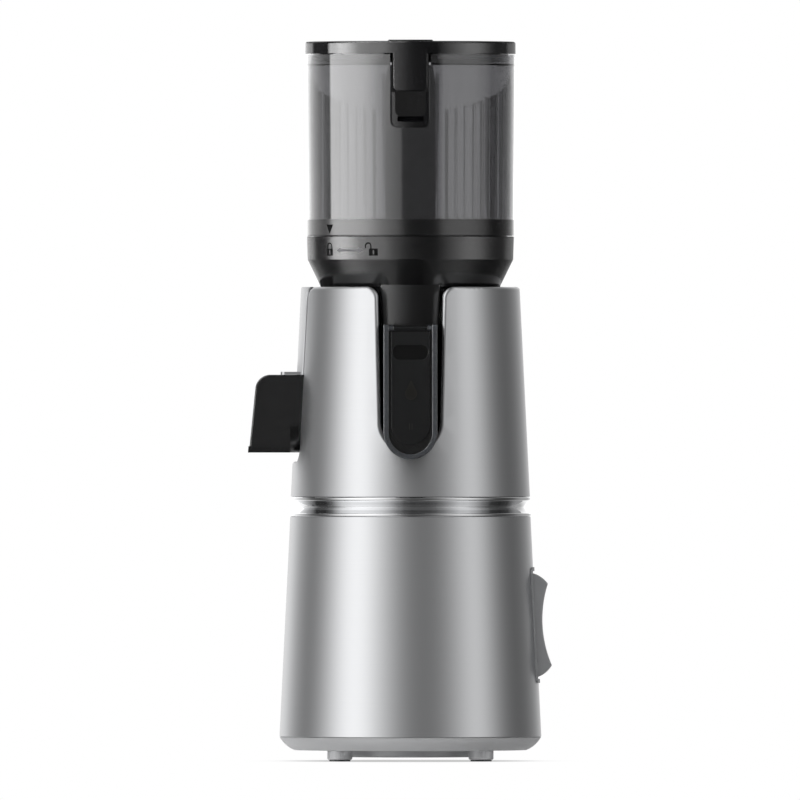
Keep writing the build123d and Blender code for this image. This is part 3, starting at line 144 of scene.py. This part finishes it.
def light_level(tree, shares, compass_stops, height_stops):
    """Brightness by compass angle, times its share by height above the horizon, both in degrees."""
    most = max(level for angle, level in compass_stops)
    by_compass = ramp_node(tree, [((angle + 180) / 360, level / most) for angle, level in compass_stops])
    by_height = ramp_node(tree, [((sin(radians(angle)) + 1) / 2, level) for angle, level in height_stops])
    link(tree, shares[0], 0, by_compass, 0)
    link(tree, shares[1], 0, by_height, 0)
    lit = math_node(tree, "MULTIPLY", (by_compass, 0), (by_height, 0))
    return math_node(tree, "MULTIPLY", (lit, 0), most)


def by_eye(tree, lit, seen):
    """Mixes two shaders: seen for the camera and through clear pieces, lit for every other ray."""
    rays = tree.nodes.new("ShaderNodeLightPath")
    direct = math_node(tree, "MAXIMUM", (rays, "Is Camera Ray"), (rays, "Is Transmission Ray"))
    choice = tree.nodes.new("ShaderNodeMixShader")
    link(tree, direct, 0, choice, 0)
    link(tree, lit, 0, choice, 1)
    link(tree, seen, 0, choice, 2)
    return choice


direction = sky.nodes.new("ShaderNodeTexCoord")
sky_level = light_level(sky, angles_of(sky, (direction, "Generated")), sky_stops, sky_height)
studio_light = sky.nodes.new("ShaderNodeBackground")
studio_light.inputs["Color"].default_value = white
link(sky, sky_level, 0, studio_light, "Strength")
white_screen = sky.nodes.new("ShaderNodeBackground")
white_screen.inputs["Color"].default_value = white
sky_output = sky.nodes.new("ShaderNodeOutputWorld")
link(sky, by_eye(sky, studio_light, white_screen), 0, sky_output, "Surface")


def light_dome(name, reach, compass_stops, height_stops, pieces, state):
    """A far dome of light that reaches only the named pieces, or all but them, and hides nothing behind it."""
    mesh = bmesh.new()
    bmesh.ops.create_uvsphere(mesh, u_segments=48, v_segments=24, radius=reach)
    data = bpy.data.meshes.new(name)
    mesh.to_mesh(data)
    mesh.free()
    light = bpy.data.materials.new(name)
    light.use_nodes = True
    tree = light.node_tree
    tree.nodes.clear()
    place = tree.nodes.new("ShaderNodeTexCoord")
    unit = tree.nodes.new("ShaderNodeVectorMath")
    unit.operation = "NORMALIZE"
    link(tree, place, "Object", unit, 0)
    glow = tree.nodes.new("ShaderNodeEmission")
    link(tree, light_level(tree, angles_of(tree, (unit, 0)), compass_stops, height_stops), 0, glow, "Strength")
    both = tree.nodes.new("ShaderNodeAddShader")
    link(tree, glow, 0, both, 0)
    link(tree, tree.nodes.new("ShaderNodeBsdfTransparent"), 0, both, 1)
    link(tree, both, 0, tree.nodes.new("ShaderNodeOutputMaterial"), "Surface")
    data.materials.append(light)
    dome = bpy.data.objects.new(name, data)
    bpy.context.scene.collection.objects.link(dome)
    dome.visible_camera = False
    dome.visible_transmission = False
    dome.visible_shadow = False
    lit = bpy.data.collections.new(name)
    dome.light_linking.receiver_collection = lit
    for piece in pieces:
        lit.objects.link(nodes[piece])
    for receiver in lit.collection_objects:
        receiver.light_linking.link_state = state


skins = ("lower_shell", "upper_shell", "side_cover")
base_pieces = ("base_plate", "bottom_cover", "foot_front_left", "foot_front_right", "foot_rear_left",
               "foot_rear_right")
rocker_pieces = ("rocker", "rocker_bezel")
ring_pieces = ("trim_ring",)
tall_box_pieces = ("hopper", "hopper_collar")
sky_pieces = skins + base_pieces + rocker_pieces
light_dome("soft_sky", 50, sky_stops, all_round, sky_pieces, "INCLUDE")
light_dome("ring_sky", 52, ring_stops, all_round, ring_pieces, "INCLUDE")
light_dome("tall_box", 55, tall_box_stops, tall_height, tall_box_pieces, "INCLUDE")
light_dome("soft_box", 60, soft_box_stops, box_height, sky_pieces + ring_pieces + tall_box_pieces, "EXCLUDE")

# ---------------------------------------------------------------- floor
# A pale matt table top that is white to the camera, with a painted shadow close round the feet where little
# light gets in, and lies a hair under the pads.
floor_reach = 3.0
floor_drop = 0.0002
painted_shadow_reach = 0.08
painted_shadow_stops = ((0.0, 0.55), (0.7, 1.0))
floor_mesh = bmesh.new()
bmesh.ops.create_grid(floor_mesh, x_segments=1, y_segments=1, size=floor_reach)
bmesh.ops.translate(floor_mesh, verts=floor_mesh.verts, vec=(0, 0, -floor_drop))
floor_data = bpy.data.meshes.new("floor")
floor_mesh.to_mesh(floor_data)
floor_mesh.free()
floor = bpy.data.objects.new("floor", floor_data)
bpy.context.scene.collection.objects.link(floor)
floor_paint = bpy.data.materials.new("floor_paint")
floor_paint.use_nodes = True
floor_tree = floor_paint.node_tree
floor_tree.nodes.clear()
# Painted shadow: the camera sees the floor darker where ambient occlusion finds the feet close by.
shade = floor_tree.nodes.new("ShaderNodeAmbientOcclusion")
shade.samples = 8
shade.inputs["Distance"].default_value = painted_shadow_reach
painted_contact_shadow = ramp_node(floor_tree, painted_shadow_stops)
link(floor_tree, shade, "AO", painted_contact_shadow, 0)
white_floor = floor_tree.nodes.new("ShaderNodeEmission")
link(floor_tree, painted_contact_shadow, 0, white_floor, "Color")
plain_floor = floor_tree.nodes.new("ShaderNodeBsdfDiffuse")
plain_floor.inputs["Color"].default_value = (0.8, 0.8, 0.8, 1)
floor_output = floor_tree.nodes.new("ShaderNodeOutputMaterial")
link(floor_tree, by_eye(floor_tree, plain_floor, white_floor), 0, floor_output, "Surface")
floor_data.materials.append(floor_paint)
floor.visible_glossy = False

# ---------------------------------------------------------------- metal skins
# Lower and upper skin and the side cover: spun and folded aluminium sheet, brushed round the body in fine
# lines and left satin. The side cover is the piece of the upper skin that lifts off with the bowl.


def shader_of(material):
    """The material's Principled shader."""
    return material.node_tree.nodes["Principled BSDF"]


def new_finish(name, color, roughness, metallic=0.0):
    """A material with its even values on the shader's own sockets."""
    material = bpy.data.materials.new(name)
    material.use_nodes = True
    entries = shader_of(material).inputs
    entries["Base Color"].default_value = (*color, 1)
    entries["Roughness"].default_value = roughness
    entries["Metallic"].default_value = metallic
    if not metallic:
        entries["Specular IOR Level"].default_value = 1.0
    return material


def object_place(tree, stretch=(1, 1, 1)):
    """The object's own coordinates, multiplied by stretch along each axis."""
    coords = tree.nodes.new("ShaderNodeTexCoord")
    mapping = tree.nodes.new("ShaderNodeMapping")
    mapping.inputs["Scale"].default_value = stretch
    link(tree, coords, "Object", mapping, "Vector")
    return mapping


def grain_of(material, scale, detail=2.0, stretch=(1, 1, 1)):
    """Noise on the object's own coordinates, finer along an axis with a larger stretch."""
    tree = material.node_tree
    noise = tree.nodes.new("ShaderNodeTexNoise")
    noise.inputs["Scale"].default_value = scale
    noise.inputs["Detail"].default_value = detail
    link(tree, object_place(tree, stretch), 0, noise, "Vector")
    return noise


def vary(material, entry, pattern, low, high, start=0.3, end=0.7):
    """Drives one input of the shader between two values, or two colours, with a pattern."""
    tree = material.node_tree
    ramp = ramp_node(tree, ((start, low), (end, high)))
    link(tree, pattern, 0, ramp, 0)
    link(tree, ramp, 0, shader_of(material), entry)


def emboss(material, pattern, depth, strength):
    """Raises the surface by a pattern, depth metres at most."""
    tree = material.node_tree
    bump = tree.nodes.new("ShaderNodeBump")
    bump.inputs["Distance"].default_value = depth
    bump.inputs["Strength"].default_value = strength
    link(tree, pattern, 0, bump, "Height")
    link(tree, bump, 0, shader_of(material), "Normal")


def wear(material, *pieces):
    """Gives CAD nodes their finish."""
    for piece in pieces:
        mesh = nodes[piece].data
        for place in range(len(mesh.materials)):
            mesh.materials[place] = material


satin_metal = new_finish("satin_metal", (0.60, 0.605, 0.615), 0.36, metallic=1.0)
brushing = grain_of(satin_metal, 1.0, 3.0, stretch=(14, 14, 3400))
vary(satin_metal, "Base Color", brushing, (0.592, 0.597, 0.607), (0.608, 0.613, 0.623))
vary(satin_metal, "Roughness", brushing, 0.35, 0.37)
emboss(satin_metal, grain_of(satin_metal, 3600), depth=0.000008, strength=0.25)
shader_of(satin_metal).inputs["Anisotropic"].default_value = 0.85
shader_of(satin_metal).inputs["Anisotropic Rotation"].default_value = 0.25
around = satin_metal.node_tree.nodes.new("ShaderNodeTangent")
around.direction_type = "RADIAL"
around.axis = "Z"
link(satin_metal.node_tree, around, 0, shader_of(satin_metal), "Tangent")
wear(satin_metal, *skins)

# ---------------------------------------------------------------- chrome ring
# The ring between the two skins, two rounded lips with a groove between them: zinc, die cast, polished and
# chromed. Its spigots are pressed into both skins, and its lips cover their edges.
chrome = new_finish("chrome", (0.80, 0.805, 0.815), 0.03, metallic=1.0)
vary(chrome, "Roughness", grain_of(chrome, 60), 0.02, 0.04)
wear(chrome, *ring_pieces)

# ---------------------------------------------------------------- base, feet and rocker
# Base plate, bottom cover and feet, and a darker rocker in its bezel: moulded plastic with a satin silver
# paint that has a fine flake. Screws hold the base from below, and the bezel's flange lies on the lower skin.


def silver_paint(name, low, high):
    """Painted plastic whose flakes differ a little."""
    paint = new_finish(name, high, 0.5, metallic=0.3)
    vary(paint, "Base Color", grain_of(paint, 4000, 1.0), low, high)
    emboss(paint, grain_of(paint, 900), depth=0.000008, strength=0.3)
    return paint


wear(silver_paint("base_paint", (0.62, 0.625, 0.635), (0.68, 0.685, 0.695)), *base_pieces)
wear(silver_paint("rocker_paint", (0.35, 0.355, 0.365), (0.41, 0.415, 0.425)), *rocker_pieces)

# ---------------------------------------------------------------- rubber
# Foot pads and cord gland: black moulded rubber with a dull, finely pitted skin. The pads are flat discs glued
# under the feet, and the gland is pressed into its hole at the back.
black_rubber = new_finish("black_rubber", (0.02, 0.02, 0.02), 0.7)
rubber_skin = grain_of(black_rubber, 2500)
vary(black_rubber, "Roughness", rubber_skin, 0.62, 0.78)
emboss(black_rubber, rubber_skin, depth=0.00003, strength=0.3)
wear(black_rubber, "foot_pads", "cord_gland")

# ---------------------------------------------------------------- seals
# Bowl, hopper and lid seals, which are rings, and the open frame behind the flap: translucent grey silicone,
# moulded soft and pressed into its grooves.
silicone = new_finish("silicone", (0.34, 0.34, 0.35), 0.45)
silicone_skin = grain_of(silicone, 700)
vary(silicone, "Base Color", silicone_skin, (0.31, 0.31, 0.32), (0.37, 0.37, 0.38))
emboss(silicone, silicone_skin, depth=0.00002, strength=0.3)
shader_of(silicone).inputs["Subsurface Weight"].default_value = 0.2
shader_of(silicone).inputs["Subsurface Scale"].default_value = 0.002
wear(silicone, "bowl_seal", "collar_seal", "flap_seal", "lid_seal")

# ---------------------------------------------------------------- satin black plastic
# Cradle, spouts, bowl and the hopper's foot: moulded in satin black with a very fine spark grain. The juice
# spout is lighter on its rim and painted dark as shade in the channel behind it, and the bowl and the foot
# are a shade smoother than the cradle.


def depth_share(material, back, front):
    """How far forward a point lies between two distances in front of the Z axis, from 0 to 1."""
    tree = material.node_tree
    axes = tree.nodes.new("ShaderNodeSeparateXYZ")
    link(tree, object_place(tree), 0, axes, 0)
    scale = 1 / (front - back)
    return math_node(tree, "MULTIPLY_ADD", (axes, "Y"), -scale, -scale * back)


satin_black = new_finish("satin_black", (0.012, 0.012, 0.013), 0.22)
spark_grain = grain_of(satin_black, 3500)
vary(satin_black, "Roughness", spark_grain, 0.20, 0.25)
emboss(satin_black, spark_grain, depth=0.00001, strength=0.2)
wear(satin_black, "cradle")

rim_face = 0.1045
channel_face = 0.0980
rim_color = (0.065, 0.070, 0.078)
channel_painted_shade = (0.006, 0.006, 0.007)
spout_painted_shade = new_finish("spout_painted_shade", rim_color, 0.26)
# Painted shade: the channel behind the rim is coloured darker, as shade falls in it.
vary(spout_painted_shade, "Base Color", depth_share(spout_painted_shade, channel_face, rim_face), channel_painted_shade, rim_color)
vary(spout_painted_shade, "Roughness", grain_of(spout_painted_shade, 3500), 0.23, 0.29)
emboss(spout_painted_shade, grain_of(spout_painted_shade, 2600), depth=0.00001, strength=0.2)
wear(spout_painted_shade, "juice_spout")

bowl_black = new_finish("bowl_black", (0.009, 0.009, 0.0095), 0.21)
vary(bowl_black, "Roughness", grain_of(bowl_black, 2600), 0.19, 0.24)
emboss(bowl_black, grain_of(bowl_black, 50, 1.0), depth=0.00002, strength=0.1)
wear(bowl_black, "bowl", "pulp_spout", "hopper_collar")

# ---------------------------------------------------------------- gloss black plastic
# Lid, finger pocket and flap: moulded black and left with the polish of the mould. The notch that a thumb
# pulls the flap open by is painted darker than the flap's face, as shade in the recess.
gloss_black = new_finish("gloss_black", (0.006, 0.006, 0.007), 0.05)
vary(gloss_black, "Roughness", grain_of(gloss_black, 90), 0.04, 0.07)
emboss(gloss_black, grain_of(gloss_black, 45, 1.0), depth=0.00002, strength=0.1)
wear(gloss_black, "lid", "pocket_insert")

flap_face = 0.1035
notch_floor = 0.1019
flap_color = (0.014, 0.0145, 0.015)
notch_painted_shade = (0.003, 0.003, 0.003)
flap_black = new_finish("flap_black", flap_color, 0.13)
# Painted shade: the thumb notch is coloured darker than the flap's face, as shade in the recess.
vary(flap_black, "Base Color", depth_share(flap_black, notch_floor, flap_face), notch_painted_shade, flap_color,
     start=0.5, end=0.8)
vary(flap_black, "Roughness", grain_of(flap_black, 160), 0.11, 0.16)
emboss(flap_black, grain_of(flap_black, 60, 1.0), depth=0.00002, strength=0.1)
shader_of(flap_black).inputs["Specular IOR Level"].default_value = 0.5
wear(flap_black, "juice_flap")

# ---------------------------------------------------------------- clear hopper
# The hopper's wall: smoked clear plastic, moulded in one piece with the ribs inside it, polished on both faces
# and bonded to its black foot.
smoked = new_finish("smoked_clear", (0.30, 0.30, 0.31), 0.02)
vary(smoked, "Roughness", grain_of(smoked, 70), 0.012, 0.03)
for entry, value in (("Transmission Weight", 1.0), ("IOR", 1.5), ("Coat Weight", 0.5),
                     ("Coat Roughness", 0.02), ("Coat IOR", 1.5)):
    shader_of(smoked).inputs[entry].default_value = value
wear(smoked, "hopper")

# ---------------------------------------------------------------- turned and drawn steel
# Shafts, pins, screws, bearings, spring and the auger's insert: bright steel with fine turning marks. The
# motor's can is drawn sheet with a zinc bloom, the strainer is etched sheet, and the bowl's magnet is plated.
steel = new_finish("steel", (0.58, 0.58, 0.59), 0.28, metallic=1.0)
turning = grain_of(steel, 1.0, 2.0, stretch=(60, 60, 5200))
vary(steel, "Roughness", turning, 0.22, 0.36)
vary(steel, "Base Color", turning, (0.52, 0.52, 0.53), (0.62, 0.62, 0.63))
emboss(steel, turning, depth=0.00002, strength=0.25)
wear(steel, "base_screws", "rocker_pin", "motor_shaft", "lower_bearing", "upper_bearing", "output_bearing",
     "neck_bearing", "idler_pin", "drive_shaft", "gearbox_screws", "flap_pin", "auger_insert", "rod_spring",
     "hinge_pin")

zinc = new_finish("zinc", (0.50, 0.50, 0.51), 0.4, metallic=1.0)
bloom = grain_of(zinc, 120, 4.0)
vary(zinc, "Base Color", bloom, (0.42, 0.43, 0.45), (0.56, 0.56, 0.56))
vary(zinc, "Roughness", bloom, 0.5, 0.32)
wear(zinc, "motor_can")

etched_steel = new_finish("etched_steel", (0.55, 0.55, 0.56), 0.32, metallic=1.0)
etching = grain_of(etched_steel, 1.0, 2.0, stretch=(1400, 1400, 300))
vary(etched_steel, "Roughness", etching, 0.26, 0.4)
emboss(etched_steel, etching, depth=0.00002, strength=0.3)
wear(etched_steel, "strainer")

plated = new_finish("plated", (0.66, 0.66, 0.67), 0.2, metallic=1.0)
vary(plated, "Roughness", grain_of(plated, 900), 0.16, 0.26)
wear(plated, "bowl_magnet")

# ---------------------------------------------------------------- motor core
# Stator and rotor: stacks of half-millimetre steel sheets, whose edges show as fine lines, wound with
# enamelled copper wire. The end bell is cast aluminium.
sheet_pitch = 0.0005
wire_pitch = 0.0008


def bands(material, kind, pitch):
    """Even stripes, one every pitch metres: level BANDS up the Z axis, or RINGS about it."""
    tree = material.node_tree
    wave = tree.nodes.new("ShaderNodeTexWave")
    wave.wave_type = kind
    wave.bands_direction = "Z"
    wave.rings_direction = "Z"
    wave.inputs["Scale"].default_value = 2 * pi / (20 * pitch)
    link(tree, object_place(tree), 0, wave, "Vector")
    return wave


lamination = new_finish("lamination", (0.26, 0.26, 0.27), 0.5, metallic=0.8)
sheet_edges = bands(lamination, "BANDS", sheet_pitch)
vary(lamination, "Base Color", sheet_edges, (0.16, 0.16, 0.165), (0.30, 0.30, 0.31), start=0.2, end=0.6)
emboss(lamination, sheet_edges, depth=0.00006, strength=0.6)
wear(lamination, "stator", "rotor_core")

copper = new_finish("copper", (0.55, 0.22, 0.09), 0.28, metallic=0.9)
wire_lay = bands(copper, "RINGS", wire_pitch)
vary(copper, "Base Color", wire_lay, (0.24, 0.07, 0.02), (0.62, 0.26, 0.11), start=0.1, end=0.6)
emboss(copper, wire_lay, depth=0.0003, strength=0.8)
wear(copper, "windings")

cast_metal = new_finish("cast_metal", (0.42, 0.42, 0.43), 0.6, metallic=1.0)
cast_skin = grain_of(cast_metal, 1300, 3.0)
vary(cast_metal, "Roughness", cast_skin, 0.5, 0.7)
emboss(cast_metal, cast_skin, depth=0.00006, strength=0.5)
wear(cast_metal, "motor_end_bell")

# ---------------------------------------------------------------- gears and housings
# Gears: white acetal, greased. Gearbox, fan, capacitor and switches: black glass-filled nylon. Auger, feeding
# wing and interlock rod: dark hard resin with faint flow lines.
acetal = new_finish("acetal", (0.78, 0.77, 0.72), 0.38)
acetal_skin = grain_of(acetal, 220)
vary(acetal, "Base Color", acetal_skin, (0.74, 0.72, 0.66), (0.80, 0.79, 0.75))
vary(acetal, "Roughness", acetal_skin, 0.32, 0.45)
wear(acetal, "idler_gear", "output_gear")

filled_nylon = new_finish("filled_nylon", (0.03, 0.03, 0.032), 0.5)
fibre = grain_of(filled_nylon, 1.0, 3.0, stretch=(700, 700, 250))
vary(filled_nylon, "Base Color", fibre, (0.022, 0.022, 0.024), (0.05, 0.05, 0.052))
vary(filled_nylon, "Roughness", fibre, 0.42, 0.6)
wear(filled_nylon, "gearbox_case", "gearbox_lid", "cooling_fan", "run_capacitor", "reed_switch",
     "power_switch")

auger_resin = new_finish("auger_resin", (0.035, 0.032, 0.03), 0.22)
flow_lines = grain_of(auger_resin, 26, 4.0, stretch=(1, 1, 2.5))
vary(auger_resin, "Base Color", flow_lines, (0.028, 0.026, 0.025), (0.05, 0.045, 0.042))
vary(auger_resin, "Roughness", flow_lines, 0.17, 0.27)
wear(auger_resin, "auger", "feeding_wing", "interlock_rod")

# ---------------------------------------------------------------- control board
# The board that drives the motor: glass-fibre laminate with copper tracks under a green mask. It stands
# upright inside the lower skin, so its tracks are laid out in that plane.
board_mask = new_finish("board_mask", (0.02, 0.16, 0.07), 0.3)
board_tree = board_mask.node_tree
tracks = board_tree.nodes.new("ShaderNodeTexBrick")
tracks.inputs["Scale"].default_value = 130
tracks.inputs["Mortar Size"].default_value = 0.012
tracks.inputs["Color1"].default_value = (0.015, 0.13, 0.055, 1)
tracks.inputs["Color2"].default_value = (0.02, 0.17, 0.07, 1)
tracks.inputs["Mortar"].default_value = (0.05, 0.30, 0.12, 1)
board_place = object_place(board_tree)
board_place.inputs["Rotation"].default_value = (0, radians(90), 0)
link(board_tree, board_place, 0, tracks, "Vector")
link(board_tree, tracks, "Color", shader_of(board_mask), "Base Color")
emboss(board_mask, tracks, depth=0.00004, strength=0.4)
wear(board_mask, "control_board")

# ---------------------------------------------------------------- printed marks
# Pad-printed lock marks on the bowl's ring, the pointer on the hopper's foot, and a drop and two bars printed
# faintly on the flap. Each is a thin film of matt ink that follows the surface under it.
film_thickness = 0.00005
film_gap = 0.00001
weld_reach = 0.000002
longest_side = 0.0018

ring_low = 0.3339
ring_high = 0.3490
ring_low_radius = 0.0685
ring_high_radius = 0.0690
ring_slope = (ring_high_radius - ring_low_radius) / (ring_high - ring_low)
foot_radius = 0.0691

lock_height = 0.3364
closed_lock_x = -0.0535
closed_half_width = 0.00295
open_lock_x = -0.0246
open_half_width = 0.0031
lock_body_height = 0.0047
keyhole_half = 0.00055
keyhole_low = 0.0009
keyhole_high = 0.0038
shackle_half = 0.0024
shackle_line = 0.0008
shackle_middle_height = 0.0064
open_shackle_shift = -0.0037
open_shackle_end = 0.0051

pointer_x = -0.0537
pointer_height = 0.35407
pointer_corners = ((-0.0034, 0.0031), (0, -0.0031), (0.0034, 0.0031))
arrow_x = -0.0408
arrow_height = 0.33995
arrow_quarter = ((0.0112, 0), (0.0074, 0.0019), (0.0074, 0.0008))

drop_x = 0.0004
drop_height = 0.2445
drop_radius = 0.0041
drop_tip = 0.0092
drop_first_angle = 152
drop_turn = 236
drop_steps = 20
bars_height = 0.2208
bar_lefts = (-0.0009, 0.0008)
bar_width = 0.0005
bar_length = 0.0042


def flat_mark(shape):
    """A mesh in the XY plane from a closed outline of (x, y) corners, in metres."""
    mesh = bmesh.new()
    mesh.faces.new([mesh.verts.new((x, y, 0)) for x, y in shape])
    return mesh


def half_ring(mesh, centre, outer, inner, steps=14):
    """Adds the upper half of a flat ring."""
    edge = []
    for step in range(steps + 1):
        angle = radians(180 * step / steps)
        edge.append([
            mesh.verts.new((centre[0] + reach * cos(angle), centre[1] + reach * sin(angle), 0))
            for reach in (outer, inner)
        ])
    for here, there in zip(edge, edge[1:]):
        mesh.faces.new((here[0], there[0], there[1], here[1]))


def bar(mesh, left, right, low, high):
    """Adds a flat rectangle."""
    corners = ((left, low), (right, low), (right, high), (left, high))
    mesh.faces.new([mesh.verts.new((x, y, 0)) for x, y in corners])


def padlock(half_width, shackle_middle, free_end):
    """A padlock with a bare keyhole; the shackle's left leg ends at free_end above the body's foot."""
    across = (-half_width, -keyhole_half, keyhole_half, half_width)
    upwards = (0, keyhole_low, keyhole_high, lock_body_height)
    keyhole = (1, 1)
    mesh = bmesh.new()
    grid = [[mesh.verts.new((x, y, 0)) for x in across] for y in upwards]
    for row in range(3):
        for column in range(3):
            if (row, column) != keyhole:
                mesh.faces.new((grid[row][column], grid[row][column + 1],
                                grid[row + 1][column + 1], grid[row + 1][column]))
    half_ring(mesh, (shackle_middle, shackle_middle_height), shackle_half, shackle_half - shackle_line)
    right_leg = shackle_middle + shackle_half
    left_leg = shackle_middle - shackle_half
    bar(mesh, right_leg - shackle_line, right_leg, lock_body_height, shackle_middle_height)
    bar(mesh, left_leg, left_leg + shackle_line, free_end, shackle_middle_height)
    return mesh


def ring_surface(height):
    """Radius of the bowl's ring at a height."""
    return ring_low_radius + (height - ring_low) * ring_slope


def foot_surface(height):
    """Radius of the hopper's foot, the same at every height."""
    return foot_radius


def on_round(middle_x, middle_z, radius_at):
    """Where a mark's own x and y lie on a surface turned about Z, in front."""
    middle = asin(middle_x / radius_at(middle_z))

    def place(x, y):
        radius = radius_at(middle_z + y) + film_gap
        turn = middle + x / radius
        return (radius * sin(turn), -radius * cos(turn), middle_z + y)
    return place


def on_flap(middle_x, middle_z):
    """Where a mark's own x and y lie on the flap's face."""
    return lambda x, y: (middle_x + x, -flap_face - film_gap, middle_z + y)


def print_mark(mesh, name, place, body, ink):
    """Lays a flat mark on a surface, thickens it outwards from there and makes it a piece."""
    bmesh.ops.remove_doubles(mesh, verts=mesh.verts, dist=weld_reach)
    bmesh.ops.triangulate(mesh, faces=mesh.faces)
    while long_sides := [edge for edge in mesh.edges if edge.calc_length() > longest_side]:
        bmesh.ops.subdivide_edges(mesh, edges=long_sides, cuts=1)
        bmesh.ops.triangulate(mesh, faces=mesh.faces)
    for vert in mesh.verts:
        vert.co = place(vert.co.x, vert.co.y)
    bmesh.ops.recalc_face_normals(mesh, faces=mesh.faces)
    for face in mesh.faces:
        if face.normal.xy.dot(face.calc_center_median().xy) > 0:
            face.normal_flip()
    bmesh.ops.solidify(mesh, geom=mesh.faces[:], thickness=film_thickness)
    data = bpy.data.meshes.new(name)
    mesh.to_mesh(data)
    mesh.free()
    data.materials.append(ink)
    piece = bpy.data.objects.new(name, data)
    bpy.context.scene.collection.objects.link(piece)
    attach(piece, body)


def ink_of(name, color):
    """Matt printing ink."""
    ink = new_finish(name, color, 0.55)
    vary(ink, "Roughness", grain_of(ink, 2500), 0.5, 0.62)
    shader_of(ink).inputs["Specular IOR Level"].default_value = 0.1
    return ink


black_ink = ink_of("black_ink", (0.004, 0.004, 0.004))
grey_ink = ink_of("grey_ink", (0.24, 0.24, 0.25))
faint_ink = ink_of("faint_ink", (0.021, 0.020, 0.018))

print_mark(flat_mark(pointer_corners), "pointer_mark", on_round(pointer_x, pointer_height, foot_surface),
           "hopper_unit", black_ink)
print_mark(padlock(closed_half_width, 0, lock_body_height), "closed_padlock_mark",
           on_round(closed_lock_x, lock_height, ring_surface), "juicing_bowl", black_ink)
print_mark(padlock(open_half_width, open_shackle_shift, open_shackle_end), "open_padlock_mark",
           on_round(open_lock_x, lock_height, ring_surface), "juicing_bowl", black_ink)
arrow_corners = list(arrow_quarter) + [(-x, y) for x, y in arrow_quarter[::-1]]
arrow_corners += [(-x, -y) for x, y in arrow_quarter[1:]] + [(x, -y) for x, y in arrow_quarter[:0:-1]]
print_mark(flat_mark(arrow_corners), "turn_arrow_mark", on_round(arrow_x, arrow_height, ring_surface),
           "juicing_bowl", grey_ink)

drop_corners = [(0, drop_tip)]
for step in range(drop_steps + 1):
    angle = radians(drop_first_angle + step * drop_turn / drop_steps)
    drop_corners.append((drop_radius * cos(angle), drop_radius * sin(angle)))
print_mark(flat_mark(drop_corners), "drop_mark", on_flap(drop_x, drop_height), "spout_flap",
           faint_ink)
flap_bars = bmesh.new()
for bar_left in bar_lefts:
    bar(flap_bars, bar_left, bar_left + bar_width, 0, bar_length)
print_mark(flap_bars, "bar_marks", on_flap(0, bars_height), "spout_flap", faint_ink)

bpy.context.scene.view_settings.view_transform = "Standard"
